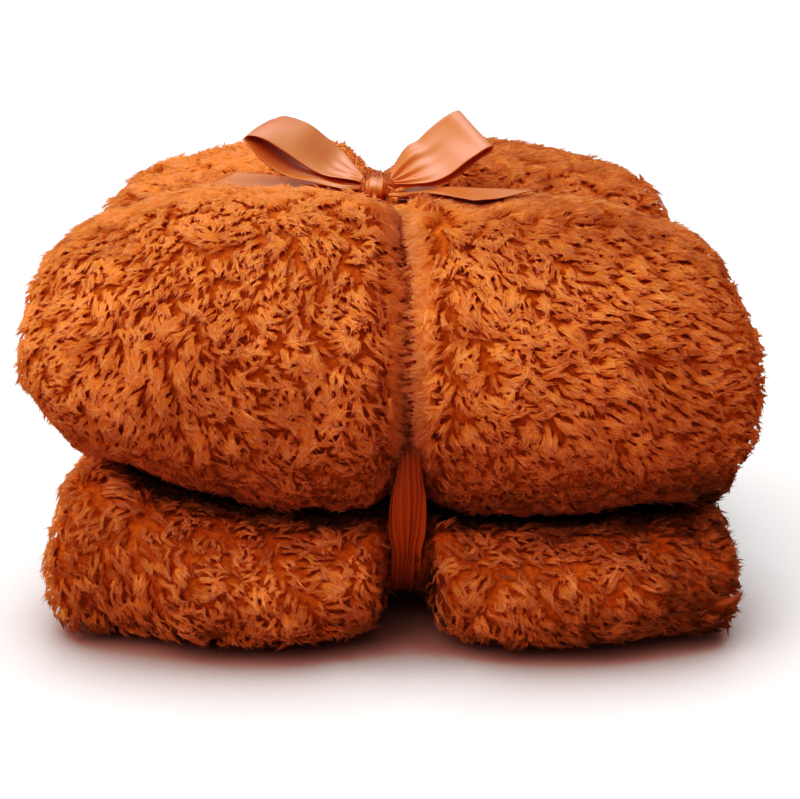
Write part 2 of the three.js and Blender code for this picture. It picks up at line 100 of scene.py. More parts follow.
class Curve:
    """A smooth curve through a table's rows, level outside them and never past them."""

    def __init__(self, rows):
        self.k = np.array([r[0] for r in rows], float)
        self.v = np.array([r[1] for r in rows], float)
        s = np.diff(self.v) / np.diff(self.k)
        m = np.empty(len(rows))
        m[0], m[-1] = s[0], s[-1]
        for j in range(1, len(rows) - 1):
            a, b = s[j - 1], s[j]
            m[j] = 0.0 if a * b <= 0 else 2 * a * b / (a + b)
        self.m = m

    def __call__(self, at):
        at = np.clip(np.asarray(at, float), self.k[0], self.k[-1])
        i = np.clip(np.searchsorted(self.k, at, side="right") - 1, 0, len(self.k) - 2)
        w = self.k[i + 1] - self.k[i]
        t = (at - self.k[i]) / w
        return (
            self.v[i] * (1 + 2 * t) * (1 - t) ** 2
            + self.v[i + 1] * t * t * (3 - 2 * t)
            + self.m[i] * w * t * (1 - t) ** 2
            - self.m[i + 1] * w * t * t * (1 - t)
        )


swell, side_left, side_right, plan = Curve(SWELL), Curve(SIDE_LEFT), Curve(SIDE_RIGHT), Curve(PLAN)
top_left, top_right, top_edge, top_groove = Curve(TOP_LEFT), Curve(TOP_RIGHT), Curve(TOP_EDGE), Curve(TOP_GROOVE)
pull_front, pull_back, pull_side, band_line = Curve(PULL_FRONT), Curve(PULL_BACK), Curve(PULL_SIDE), Curve(BAND_LINE)


def groove(off, shoulder, wall=36.0):
    d = np.abs(off) - GROOVE_FLAT
    return 1 - 0.74 * smooth(d / wall) - 0.26 * smooth(d / shoulder)


# Soft unevenness of the whole stack: a few long waves, so layers that lie together move together.
WAVES = [  # direction, wavelength in mm, amplitude in mm, phase, moves along
    ((0.9, 0.3, 0.2), 118, 1.5, 0.4, (0.1, 0.8, 0.6)),
    ((-0.5, 0.7, 0.5), 87, 1.2, 2.1, (0.3, 0.7, 0.6)),
    ((0.3, -0.4, 0.9), 71, 1.1, 4.0, (0.4, 0.9, 0.0)),
    ((0.8, 0.1, -0.6), 53, 0.8, 1.3, (0.2, 0.8, 0.5)),
    ((0.1, 0.9, 0.4), 64, 0.9, 5.2, (0.9, 0.1, 0.3)),
    ((0.5, 0.2, 0.8), 46, 0.6, 3.3, (0.7, 0.5, 0.2)),
]


def uneven(p):
    out = np.zeros_like(p)
    fade = smooth(p[:, 2] / 30.0)[:, None]
    for d, length, amp, phase, along in WAVES:
        d = np.array(d) / np.linalg.norm(d)
        a = np.array(along) / np.linalg.norm(along)
        out += amp * np.sin(2 * np.pi * (p @ d) / length + phase)[:, None] * a
    return p + out * fade


def tie(x, y, z):
    """The untied stack's point, tied. Millimetres, in the solids' frame before the shift."""
    across = np.abs(x) / HALF_WIDTH
    edge = top_edge(y) * smooth((across - 0.5) / 0.5) ** 1.5
    beside = np.sign(x) * np.maximum(0, np.abs(x) - GROOVE_FLAT)
    right = smooth((beside + 70) / 140)
    lobe = top_left(y) * (1 - right) + top_right(y) * right - edge
    wall = STEEP + (36 - STEEP) * smooth((y + 110) / 150)
    lengthwise = top_groove(y) * groove(x, 95, wall)
    crosswise = 17 * groove(y, 62) * (1 - 0.3 * across)
    dip = np.maximum(lengthwise, crosswise) + 0.25 * np.minimum(lengthwise, crosswise)
    lift = 12 * (1 - (1 - groove(x, 40)) * (1 - groove(y, 40)))
    top = lobe - dip
    low = (SETTLED + swell(x) * np.where(y < 0, 1.0, 0.8)) / 272
    settled = np.where(
        z < 2 * STRIP, low * z / (2 * STRIP), low + (1 - low) * (z - 2 * STRIP) / (LOOSE_TOP - 2 * STRIP)
    )
    h = lift * (1 - settled) + settled * top
    corner = smooth((across - 0.3) / 0.7)
    pulled = np.where(y < 0, pull_front(h) * groove(x, 80, wall), pull_back(h) * groove(x, 70, wall))
    rounded = np.where(y < 0, 0.13, 0.17) * corner**1.6
    d = y * (1 - pulled) * (1 - rounded)
    reach = (
        np.where(x < 0, side_left(h), side_right(h))
        / HALF_WIDTH
        * plan(d)
        * (1 - pull_side(h) * groove(d, 62))
    )
    w = x * reach + band_line(d) * (1 - np.abs(x) / HALF_WIDTH)
    return uneven(np.stack([w, d, h], -1) + SHIFT)


# ---------------------------------------------------------------- the run of the cloth
def level_height(k):
    return PLY / 2 + PITCH + k * STRIP


def trace(pieces, step):
    """Dense stations of a run of lines and arcs: place (a, b) and the outward normal."""
    pts, nrm = [], []
    for p in pieces:
        if p[0] == "line":
            _, a0, a1, b, n = p
            count = max(2, int(abs(a1 - a0) / step))
            for i in range(count):
                t = i / count
                pts.append((a0 + (a1 - a0) * t, b))
                nrm.append((0.0, n))
        else:
            _, ca, cb, r, start, sweep, sign = p
            count = max(10, int(r * abs(sweep) / step))
            for i in range(count):
                t = start + sweep * i / count
                pts.append((ca + r * math.cos(t), cb + r * math.sin(t)))
                nrm.append((sign * math.cos(t), sign * math.sin(t)))
    p = pieces[-1]
    pts.append((p[2], p[3]))
    nrm.append((0.0, p[4]))
    pts, nrm = np.array(pts), np.array(nrm)
    s = np.concatenate([[0], np.cumsum(np.linalg.norm(np.diff(pts, axis=0), axis=1))])
    return s, pts, nrm


def along_pieces():
    out = []
    for i in range(1, len(FOLDS)):
        f, before = FOLDS[i], FOLDS[i - 1]
        level = before[0] if before[1] is None else before[1]
        z = level_height(level)
        forward = f[2] < before[2]
        out.append(("line", before[2], f[2], z, 1.0 if forward else -1.0))
        if f[1] is None:
            continue
        z0, z1 = level_height(f[0]), level_height(f[1])
        r, zc = abs(z0 - z1) / 2, (z0 + z1) / 2
        down = 1 if f[1] < f[0] else -1
        front = -1 if f[2] < 0 else 1
        start = math.pi / 2 * down
        sweep = math.pi * (-front) * -down * -1
        # from straight up or down, round by the front or the back
        sweep = -math.pi * front * down
        sign = 1.0 if (down > 0) == (front < 0) else -1.0
        out.append(("arc", f[2], zc, r, start, sweep, sign))
    return out


def across_pieces():
    c = CROSS_FOLD
    return [
        ("line", -c + 3, c, 0.0, -1.0),
        ("arc", c, PITCH / 2, PITCH / 2, -math.pi / 2, math.pi, 1.0),
        ("line", c, -c, PITCH, 1.0),
        ("arc", -c, 0.0, PITCH, math.pi / 2, math.pi, 1.0),
        ("line", -c, c + 8, -PITCH, -1.0),
    ]


AL_S, AL_P, AL_N = trace(along_pieces(), 1.0)
AC_S, AC_P, AC_N = trace(across_pieces(), 0.8)
LEN_AL, LEN_AC = AL_S[-1], AC_S[-1]


def cloth(s, t, out):
    """The point of the cloth at s along it and t across it, out from its middle surface."""

    def at(S, A, q):
        return np.stack([np.interp(q, S, A[:, 0]), np.interp(q, S, A[:, 1])], -1)

    p, n = at(AL_S, AL_P, s), at(AL_S, AL_N, s)
    n /= np.maximum(1e-9, np.linalg.norm(n, axis=-1, keepdims=True))
    q, m = at(AC_S, AC_P, t), at(AC_S, AC_N, t)
    m /= np.maximum(1e-9, np.linalg.norm(m, axis=-1, keepdims=True))
    x = q[..., 0] + out * m[..., 0]
    k = q[..., 1] + out * m[..., 1]
    return tie(x, p[..., 0] + k * n[..., 0], p[..., 1] + k * n[..., 1])


def frame_at(s, t, out):
    """Point, outward normal and the two directions in the cloth."""
    e = 0.6
    p = cloth(s, t, out)
    du = cloth(np.minimum(s + e, LEN_AL), t, out) - cloth(np.maximum(s - e, 0), t, out)
    dv = cloth(s, np.minimum(t + e, LEN_AC), out) - cloth(s, np.maximum(t - e, 0), out)
    n = cloth(s, t, out + 0.5) - cloth(s, t, out - 0.5)
    c = np.cross(du, dv)
    c /= np.maximum(1e-9, np.linalg.norm(c, axis=1, keepdims=True))
    c *= np.sign(np.sum(c * n, axis=1, keepdims=True) + 1e-12)
    unit = lambda a: a / np.maximum(1e-9, np.linalg.norm(a, axis=1, keepdims=True))
    return p, c, unit(du), unit(dv)


def new_mesh(name, verts, faces, attrs=(), smooth_shade=True):
    """verts in mm (n, 3); faces a list of (m, k) arrays; attrs (name, values per vertex)."""
    me = bpy.data.meshes.new(name)
    verts = np.ascontiguousarray(verts * MM, dtype=np.float32)
    me.vertices.add(len(verts))
    me.vertices.foreach_set("co", verts.ravel())
    loops = np.concatenate([f.ravel() for f in faces]).astype(np.int32)
    sizes = np.concatenate([np.full(len(f), f.shape[1]) for f in faces]).astype(np.int32)
    starts = np.concatenate([[0], np.cumsum(sizes)[:-1]]).astype(np.int32)
    me.loops.add(len(loops))
    me.loops.foreach_set("vertex_index", loops)
    me.polygons.add(len(sizes))
    me.polygons.foreach_set("loop_start", starts)
    me.polygons.foreach_set("loop_total", sizes)
    me.polygons.foreach_set("use_smooth", np.full(len(sizes), smooth_shade))
    for key, val in attrs:
        val = np.asarray(val, np.float32)
        if val.ndim == 1:
            a = me.attributes.new(key, "FLOAT", "POINT")
            a.data.foreach_set("value", val)
        else:
            a = me.attributes.new(key, "FLOAT_VECTOR", "POINT")
            a.data.foreach_set("vector", val.ravel())
    me.update()
    me.validate()
    ob = bpy.data.objects.new(name, me)
    bpy.context.scene.collection.objects.link(ob)
    return ob


# ---------------------------------------------------------------- the backing: one thin closed sheet on the folds
def stations(S, A, fine, coarse):
    """Stations that are close together where the run turns."""
    out, here = [0.0], 0.0
    turn = np.unwrap(np.arctan2(np.gradient(A[:, 1], S), np.gradient(A[:, 0], S)))
    bend = np.abs(np.gradient(turn, S))
    bend = np.convolve(bend, np.ones(9) / 9, "same")
    while here < S[-1] - fine * 0.6:
        b = float(np.interp(here + fine, S, bend))
        step = coarse if b < 1e-3 else min(coarse, max(fine, 0.28 / b))
        here = min(S[-1], here + step)
        out.append(here)
    out[-1] = S[-1]
    return np.array(out)


st_al = stations(AL_S, AL_P, 5.2, 13.0)
st_ac = stations(AC_S, AC_P, 5.2, 13.0)
NR, NC = len(st_al), len(st_ac)
SS, TT = np.meshgrid(st_al, st_ac, indexing="ij")
face_out = cloth(SS.ravel(), TT.ravel(), BACKING / 2)
face_in = cloth(SS.ravel(), TT.ravel(), -BACKING / 2)
idx = np.arange(NR * NC).reshape(NR, NC)
a, b, c, d = (q.ravel() for q in (idx[:-1, :-1], idx[1:, :-1], idx[1:, 1:], idx[:-1, 1:]))
n_face = NR * NC
quads = [np.stack([a, b, c, d], 1), np.stack([d, c, b, a], 1) + n_face]
for row, flip in ((idx[0], False), (idx[-1], True)):
    q = np.stack([row[:-1], row[1:], row[1:] + n_face, row[:-1] + n_face], 1)
    quads.append(q if not flip else q[:, ::-1])
for col, flip in ((idx[:, 0], True), (idx[:, -1], False)):
    q = np.stack([col[:-1], col[1:], col[1:] + n_face, col[:-1] + n_face], 1)
    quads.append(q if not flip else q[:, ::-1])
backing_verts = np.concatenate([face_out, face_in])
backing_quads = np.concatenate(quads)


def signed_volume(v, q):
    t = np.concatenate([q[:, [0, 1, 2]], q[:, [0, 2, 3]]])
    return np.einsum("ij,ij->i", v[t[:, 0]], np.cross(v[t[:, 1]], v[t[:, 2]])).sum() / 6


if signed_volume(backing_verts, backing_quads) < 0:
    backing_quads = backing_quads[:, ::-1]
mid = cloth(SS.ravel(), TT.ravel(), 0.0).reshape(NR, NC, 3)
flat_len = np.median(np.linalg.norm(np.diff(mid, axis=0), axis=2).sum(0)) / 1000
flat_wid = np.median(np.linalg.norm(np.diff(mid, axis=1), axis=2).sum(1)) / 1000
print("cloth", NR, NC, "middle surface", round(float(flat_wid), 3), "by", round(float(flat_len), 3), "quads", len(backing_quads))

tree = BVHTree.FromPolygons(backing_verts.tolist(), backing_quads.tolist())

# ---------------------------------------------------------------- where the cloth can be seen
CELL = 9.0


def exposure(side):
    """Share of the half sphere over each cell that sees out of the stack."""
    ns, nt = int(LEN_AL / CELL) + 1, int(LEN_AC / CELL) + 1
    s, t = np.linspace(0.4, LEN_AL - 0.4, ns), np.linspace(0.4, LEN_AC - 0.4, nt)
    S, T = np.meshgrid(s, t, indexing="ij")
    p, n, u, v = frame_at(S.ravel(), T.ravel(), side * BACKING / 2)
    n = n * side
    free = np.zeros(len(p))
    rings = [(0.0, 1), (32.0, 5), (60.0, 8)]
    dirs = []
    for tilt, count in rings:
        for i in range(count):
            az = 2 * math.pi * (i + 0.3 * tilt / 35) / count
            dirs.append((math.sin(math.radians(tilt)) * math.cos(az), math.sin(math.radians(tilt)) * math.sin(az), math.cos(math.radians(tilt))))
    pl, nl, ul, vl = p, n, u, v
    w2 = np.cross(nl, ul)
    for i in range(len(p)):
        o = Vector(pl[i] + nl[i] * 1.5)
        got = 0
        for a_, b_, c_ in dirs:
            d_ = Vector(ul[i] * a_ + w2[i] * b_ + nl[i] * c_)
            if tree.ray_cast(o, d_, 130.0)[0] is None:
                got += 1
        free[i] = got / len(dirs)
    return s, t, free.reshape(ns, nt)


def sample(grid, s, t):
    gs, gt, g = grid
    fs = np.clip((s - gs[0]) / (gs[1] - gs[0]), 0, len(gs) - 1.001)
    ft = np.clip((t - gt[0]) / (gt[1] - gt[0]), 0, len(gt) - 1.001)
    i, j = fs.astype(int), ft.astype(int)
    x, y = fs - i, ft - j
    return g[i, j] * (1 - x) * (1 - y) + g[i + 1, j] * x * (1 - y) + g[i, j + 1] * (1 - x) * y + g[i + 1, j + 1] * x * y


# Smooth noise from a few sines, the same each run.
def waves_field(seed, count, length, spread=0.5):
    r = np.random.default_rng(seed)
    d = r.normal(size=(count, 3))
    d /= np.linalg.norm(d, axis=1, keepdims=True)
    k = 2 * np.pi / (length * (1 + spread * (r.random(count) - 0.5) * 2))
    ph = r.random(count) * 2 * np.pi

    def f(p):
        return np.sin((p @ d.T) * k + ph).sum(1) / math.sqrt(count / 2)

    return f


swirl_a = waves_field(6, 10, 60.0)
swirl_b = waves_field(7, 10, 60.0)
tone = waves_field(8, 10, 45.0)
lean = waves_field(9, 12, 34.0)

# How the pile is combed on the outside of the stack: places in mm and the way it lies there.
COMB = [  # x, y, z, lies towards x, y, z, reach, how tidy from 0 to 1
    (-160, -150, 235, -0.55, -0.5, -0.35, 80, 0.45),
    (-70, -160, 235, 0.15, -0.5, -0.55, 75, 0.25),
    (-160, -170, 165, -0.3, -0.2, -0.8, 75, 0.1),
    (-70, -170, 160, 0.35, -0.1, -0.75, 70, 0.0),
    (-110, -170, 118, 0.25, 0.0, -0.9, 60, 0.5),
    (-205, -110, 190, -0.7, -0.2, -0.5, 70, 0.4),
    (55, -160, 235, 0.55, -0.3, -0.5, 60, 0.1),
    (150, -150, 225, 0.9, -0.2, -0.2, 85, 0.9),
    (130, -170, 165, 0.85, 0.0, -0.35, 75, 0.7),
    (55, -170, 150, 0.5, 0.0, -0.7, 60, 0.1),
    (110, -170, 118, 0.4, 0.0, -0.9, 60, 0.5),
    (205, -110, 180, 0.75, 0.2, -0.4, 70, 0.7),
    (-160, -150, 60, 0.1, -0.2, -0.75, 70, 0.3),
    (-70, -150, 60, 0.5, -0.1, -0.55, 70, 0.3),
    (70, -150, 60, 0.35, -0.1, -0.6, 70, 0.2),
    (160, -150, 55, 0.85, -0.1, -0.3, 80, 0.6),
    (-110, 0, 275, -0.7, -0.5, 0.0, 90, 0.3),
    (110, 0, 272, 0.8, -0.4, 0.0, 90, 0.3),
    (-110, 110, 278, -0.5, 0.5, 0.0, 90, 0.3),
    (110, 110, 278, 0.7, 0.4, 0.0, 90, 0.3),
    (-120, 175, 180, -0.4, 0.1, -0.8, 110, 0.3),
    (120, 175, 180, 0.4, 0.1, -0.8, 110, 0.3),
    (-120, 180, 70, 0.3, 0.1, -0.8, 110, 0.3),
    (120, 180, 70, -0.3, 0.1, -0.8, 110, 0.3),
    (-215, 60, 150, -0.3, 0.5, -0.7, 110, 0.3),
    (215, 60, 150, 0.3, 0.5, -0.7, 110, 0.3),
]


def unit(v):
    return v / np.maximum(1e-9, np.linalg.norm(v, axis=1, keepdims=True))


blanket = new_mesh("blanket_ground", backing_verts, [backing_quads])


# ---------------------------------------------------------------- the ribbon
def cat(points, count):
    """A smooth line through points, count samples."""
    P = np.array(points, float)
    P = np.concatenate([2 * P[:1] - P[1:2], P, 2 * P[-1:] - P[-2:-1]])
    out = []
    m = len(P) - 3
    for i in range(count):
        q = i / (count - 1) * m
        k = min(int(q), m - 1)
        t = q - k
        a, b, c, d = P[k], P[k + 1], P[k + 2], P[k + 3]
        out.append(0.5 * (2 * b + (c - a) * t + (2 * a - 5 * b + 4 * c - d) * t * t + (3 * b - a - 3 * c + d) * t**3))
    return np.array(out)


def closed_strip(name, grid, run, over, thick=RIBBON_THICK):
    """A thin closed strip on a grid of points, rows along it and columns across."""
    rows, cols = grid.shape[:2]
    m = np.cross(np.gradient(grid, axis=0), np.gradient(grid, axis=1))
    m /= np.maximum(1e-9, np.linalg.norm(m, axis=2, keepdims=True))
    top, bot = (grid + m * thick / 2).reshape(-1, 3), (grid - m * thick / 2).reshape(-1, 3)
    ix = np.arange(rows * cols).reshape(rows, cols)
    a, b, c, d = (q.ravel() for q in (ix[:-1, :-1], ix[1:, :-1], ix[1:, 1:], ix[:-1, 1:]))
    nf = rows * cols
    qs = [np.stack([a, b, c, d], 1), np.stack([d, c, b, a], 1) + nf]
    for r, flip in ((ix[0], False), (ix[-1], True), (ix[:, 0], True), (ix[:, -1], False)):
        q = np.stack([r[:-1], r[1:], r[1:] + nf, r[:-1] + nf], 1)
        qs.append(q if not flip else q[:, ::-1])
    v, q = np.concatenate([top, bot]), np.concatenate(qs)
    if signed_volume(v, q) < 0:
        q = q[:, ::-1]
    ob = new_mesh(name, v, [q], [("run", np.tile(np.repeat(run, cols), 2)), ("over", np.tile(np.tile(over, rows), 2))])
    long = float(np.median(np.linalg.norm(np.diff(grid, axis=0), axis=2).sum(0)))
    wide = float(np.median(np.linalg.norm(np.diff(grid, axis=1), axis=2).sum(1)))
    return ob, (long, wide)


def ribbon_mesh(name, near, far, cols, bulge=None):
    """A strip between two edges; bulge(along, across) moves its points off the plain surface, in mm."""
    rows = len(near)
    w = np.linspace(0, 1, cols)
    grid = near[:, None, :] * (1 - w)[None, :, None] + far[:, None, :] * w[None, :, None]
    nn = np.cross(np.gradient(grid, axis=0), np.gradient(grid, axis=1))
    nn /= np.maximum(1e-9, np.linalg.norm(nn, axis=2, keepdims=True))
    if bulge is not None:
        grid = grid + nn * bulge(np.linspace(0, 1, rows)[:, None], w[None, :])[..., None]
    run = np.concatenate([[0], np.cumsum(np.linalg.norm(np.diff((near + far) / 2, axis=0), axis=1))])
    return closed_strip(name, grid, run, w * 38.0)


LOOP_LEFT = [
    (-10.5, -4, 3, 1.5, 9, 2), (-18.5, -6, 3.5, 6, 14.5, 3), (-28.5, -8, 5, 8.5, 22, 5), (-41.5, -10, 8.5, 11.5, 29, 6.5),
    (-59, -12, 13, 13.5, 34.5, 7.5), (-72.5, -12, 21.5, 13.5, 34.5, 7.5), (-81.5, -11, 30.5, 13.5, 34.5, 7.5),
    (-86, -9, 36, 13, 35, 7), (-82.5, -7, 38.5, 14, 35, 6.5), (-72.5, -6, 35.5, 12, 34, 11), (-59.5, -5, 27, 14, 32, 14.5),
    (-46, -4, 17.5, 12.5, 33, 14.5), (-35, -3, 12, 12, 32, 11.5), (-25, -3, 10, 9, 23.5, 6.5), (-16, -3, 8.5, 5, 14, 3),
    (-10, -3, 7, 1, 8, 1.5),
]
LOOP_RIGHT = [
    (12, -1.5, 3.5, -3.5, 8, 0.5), (25, -4, 4.5, -12.5, 16, 9.5), (39, -5, 5.5, -17.5, 22, 19.5), (50.5, -3, 9, -21.5, 22, 19),
    (62, 0.5, 16, -25.5, 21, 17.5), (69, 3.5, 21.5, -25.5, 20, 19), (75, 5.5, 25, -24, 19, 20.5), (78, 4, 29.5, -22, 18, 21.5),
    (74, -1, 29.5, -24, 19, 20.5), (67.5, -4, 26, -25.5, 20, 19), (60, -7, 21.5, -25.5, 21, 17.5), (49, -10, 13.5, -21.5, 22, 19),
    (37.5, -12, 9, -17.5, 22, 19.5), (24.5, -10, 7.5, -12.5, 16, 9.5), (12, -7, 7, -3, 7, 1),
]
TAIL_LEFT = [
    (-11, -5, -0.5, 1, 12, 0), (-29, -9, 2.5, 1, 25, 0), (-47, -13, 3.5, 2, 33, 1.5), (-69, -15, 5, 2, 37, 3),
    (-100, -15, 3, 18, 38, 6), (-132, -14, -1, 38, 38, 10.5),
]
TAIL_RIGHT = [
    (8.5, -12, -0.8, 0.5, 10, 0), (17, -27, 2, 11, 32, 0), (33, -50, 8, 18, 40, -3.5), (61, -92, 11, 39, 34, 0),
]
KNOT = KNOT_CAD + SHIFT


def edges(rows, count):
    r = np.array(rows, float)
    return cat(r[:, :3] + KNOT, count), cat(r[:, :3] + r[:, 3:] + KNOT, count)


def satin_strip(name, rows, count, cols, bulge=None):
    near, far = edges(rows, count)
    return ribbon_mesh(name, near, far, cols, bulge)


g = lambda u, c, s: np.exp(-(((u - c) / s) ** 2))


def gather(u, w, at, reach, deep=1.5):
    """Creases that run from the knot and die out along the ribbon."""
    return deep * np.sin(7 * np.pi * w + 0.6) * np.sin(np.pi * w) ** 0.3 * g(u, at, reach)


loop_l, size_ll = satin_strip("bow_loop_left_satin", LOOP_LEFT, 160, 28,
    lambda u, w: 2.2 * np.sin(np.pi * w) * g(u, 0.62, 0.12) - 1.6 * np.sin(np.pi * w) * g(u, 0.8, 0.06)
    + gather(u, w, 0.0, 0.16) + gather(u, w, 1.0, 0.14))
loop_r, size_lr = satin_strip("bow_loop_right_satin", LOOP_RIGHT, 150, 28,
    lambda u, w: 1.4 * np.sin(np.pi * w) * g(u, 0.68, 0.15) - 1.5 * g(w, 0.72, 0.13) * g(u, 0.85, 0.12)
    + gather(u, w, 0.0, 0.16) + gather(u, w, 1.0, 0.14))
tail_l, size_tl = satin_strip("ribbon_tail_left_satin", TAIL_LEFT, 90, 30,
    lambda u, w: 0.6 * np.sin(2 * np.pi * w + 3 * u) + gather(u, w, 0.0, 0.3, 1.4))
tail_r, size_tr = satin_strip("ribbon_tail_right_satin", TAIL_RIGHT, 90, 30,
    lambda u, w: 0.6 * np.sin(2 * np.pi * w + 2 * u) + gather(u, w, 0.0, 0.25, 1.2))


def taut(points, out, gap, at):
    """The convex round of points in a plane, pushed out, from one side of the knot round to the other."""
    pts = sorted(set((round(float(a), 3), round(float(b), 3)) for a, b in points))

    def half(seq):
        h = []
        for q in seq:
            while len(h) > 1 and (h[-1][0] - h[-2][0]) * (q[1] - h[-2][1]) - (h[-1][1] - h[-2][1]) * (q[0] - h[-2][0]) <= 0:
                h.pop()
            h.append(q)
        return h[:-1]

    hull = np.array(half(pts) + half(pts[::-1]))
    # resample evenly and round it
    closed = np.vstack([hull, hull[:1]])
    s = np.concatenate([[0], np.cumsum(np.linalg.norm(np.diff(closed, axis=0), axis=1))])
    m = 250
    q = np.linspace(0, s[-1], m, endpoint=False)
    r = np.stack([np.interp(q, s, closed[:, 0]), np.interp(q, s, closed[:, 1])], 1)
    ker = np.hanning(11)
    ker /= ker.sum()
    k = len(ker) // 2
    pad = np.vstack([r[-k:], r, r[:k]])
    r = np.stack([np.convolve(pad[:, i], ker, "valid") for i in (0, 1)], 1)
    tang = np.roll(r, -1, 0) - np.roll(r, 1, 0)
    nn = np.stack([tang[:, 1], -tang[:, 0]], 1)
    nn /= np.linalg.norm(nn, axis=1, keepdims=True)
    r = r + nn * out
    # begin at the knot
    top = (r[:, 1] > r[:, 1].max() * 0.6) & (np.abs(r[:, 0] - at) < gap)
    start = np.nonzero(top)[0]
    mid_i = start[np.argmin(np.abs(r[start, 0] - at))]
    r, nn = np.roll(r, -mid_i, 0), np.roll(nn, -mid_i, 0)
    inside = (np.abs(r[:, 0] - at) < gap) & (r[:, 1] > r[:, 1].max() * 0.6)
    return r[~inside], nn[~inside]


SECTION = [  # across and up, in mm: the ribbon lies gathered in its groove
    (-9.8, 2.6), (-8.4, 0.2), (-6.9, 2.1), (-5.3, 0.0), (-3.9, 1.9), (-2.2, 0.1), (-0.7, 2.2), (0.9, 0.0),
    (2.3, 1.8), (4.0, 0.1), (5.6, 2.3), (7.0, 0.2), (8.5, 0.9), (9.8, 2.8),
]


def band_mesh(name, path, nn, place, width_at, cols=30):
    rows = len(path)
    run = np.concatenate([[0], np.cumsum(np.linalg.norm(np.diff(path, axis=0), axis=1))])
    sec = cat([(a, b, 0) for a, b in SECTION], cols)
    w = np.linspace(-1, 1, cols)
    half = np.array([width_at(q) for q in path]) / 18.0
    core = smooth((1 - np.abs(w)) / 0.35)[None, :]
    drift = (
        1.1 * np.sin(run[:, None] / 38 + 2.2 * w[None, :]) + 0.8 * np.sin(run[:, None] / 21 + 3.7 * w[None, :] + 1.0)
    ) * core
    depth = 1 + 0.35 * np.sin(run[:, None] / 33 + 5 * w[None, :]) * core
    X = sec[None, :, 0] * half[:, None] + drift
    lift = sec[None, :, 1] * depth + 0.5
    A = path[:, 0][:, None] + nn[:, 0][:, None] * lift
    B = path[:, 1][:, None] + nn[:, 1][:, None] * lift
    grid = place(X, A, B)
    return closed_strip(name, grid, run, (w + 1) * 19.0)


# cloth points on the groove floors, both faces
s_all, t_all = SS.ravel(), TT.ravel()


def floor_points(axis):
    out = []
    xs = np.interp(t_all, AC_S, AC_P[:, 0])
    ys = np.interp(s_all, AL_S, AL_P[:, 0])
    for side in (1, -1):
        q = cloth(s_all, t_all, side * (PLY / 2 - 2.9))
        if axis == "length":
            m = np.abs(xs) < GROOVE_FLAT + 1
            out.append(q[m][:, [1, 2]])
        else:
            m = np.abs(ys) < GROOVE_FLAT + 1
            out.append(q[m][:, [0, 2]])
    return np.concatenate(out)


path_l, nn_l = taut(floor_points("length"), 0.3, 13.0, KNOT[1])
path_c, nn_c = taut(floor_points("cross"), 0.3, 13.0, KNOT[0])


front_width = Curve([(0, 17), (60, 17), (80, 21), (100, 20), (125, 13), (160, 9), (280, 9)])


def clamp_floor(B):
    return np.maximum(B, 1.0)


band_l, size_bl = band_mesh(
    "ribbon_lengthwise_satin", path_l, nn_l,
    lambda X, A, B: np.stack([X + (band_line(A - SHIFT[1]) + SHIFT[0]), A, clamp_floor(B)], -1),
    lambda q: float(front_width(q[1])) if q[0] < -40 else 13.0 if q[1] > 60 else 17.0)
band_c, size_bc = band_mesh(
    "ribbon_crosswise_satin", path_c, nn_c,
    lambda X, A, B: np.stack([A, X + SHIFT[1], clamp_floor(B)], -1),
    lambda q: 14.0 if q[1] > 60 else 17.0)


def knot_mesh():
    """One turn of ribbon wrapped round the middle: a soft pillow with creases that run over it."""
    nu, nv = 72, 40
    u = np.linspace(0, 2 * np.pi, nu, endpoint=False)
    v = np.linspace(0.0, np.pi, nv)
    U, V = np.meshgrid(u, v, indexing="ij")
    sp = lambda a, e: np.sign(a) * np.abs(a) ** e
    # the axis of the wrap is left-right
    cx = sp(np.cos(V), 0.8) * 7.6
    r = sp(np.sin(V), 0.62)
    crease = 1 + 0.05 * np.sin(7 * V + 1.2 * np.sin(U)) + 0.035 * np.sin(13 * V + 2 * U * 0)
    cy = np.cos(U) * r * 10.5 * crease
    cz = np.sin(U) * r * 7.8 * crease + 2
    P = np.stack([cx, cy, cz], -1).reshape(-1, 3) + KNOT
    ix = np.arange(nu * nv).reshape(nu, nv)
    nx = np.roll(ix, -1, 0)
    a, b, c, d = ix[:, :-1].ravel(), nx[:, :-1].ravel(), nx[:, 1:].ravel(), ix[:, 1:].ravel()
    q = np.stack([a, b, c, d], 1)
    if signed_volume(P, q) < 0:
        q = q[:, ::-1]
    ob = new_mesh("bow_knot_satin", P, [q], [("run", (U.ravel() * 9)), ("over", (V.ravel() / np.pi * 38))])
    # close the two poles
    import bmesh

    bm = bmesh.new()
    bm.from_mesh(ob.data)
    bmesh.ops.remove_doubles(bm, verts=bm.verts, dist=2e-5)
    bm.to_mesh(ob.data)
    bm.free()
    return ob


knot = knot_mesh()
ribbons = [loop_l, loop_r, tail_l, tail_r, band_l, band_c, knot]


# ---------------------------------------------------------------- the pile
# A lock: root point, rings along its length with their share of its width, then the tip. All closed.
WISP = [(0.50, 1.0)]
LEAF = [(0.52, 1.0)]
SOFT = 1.6


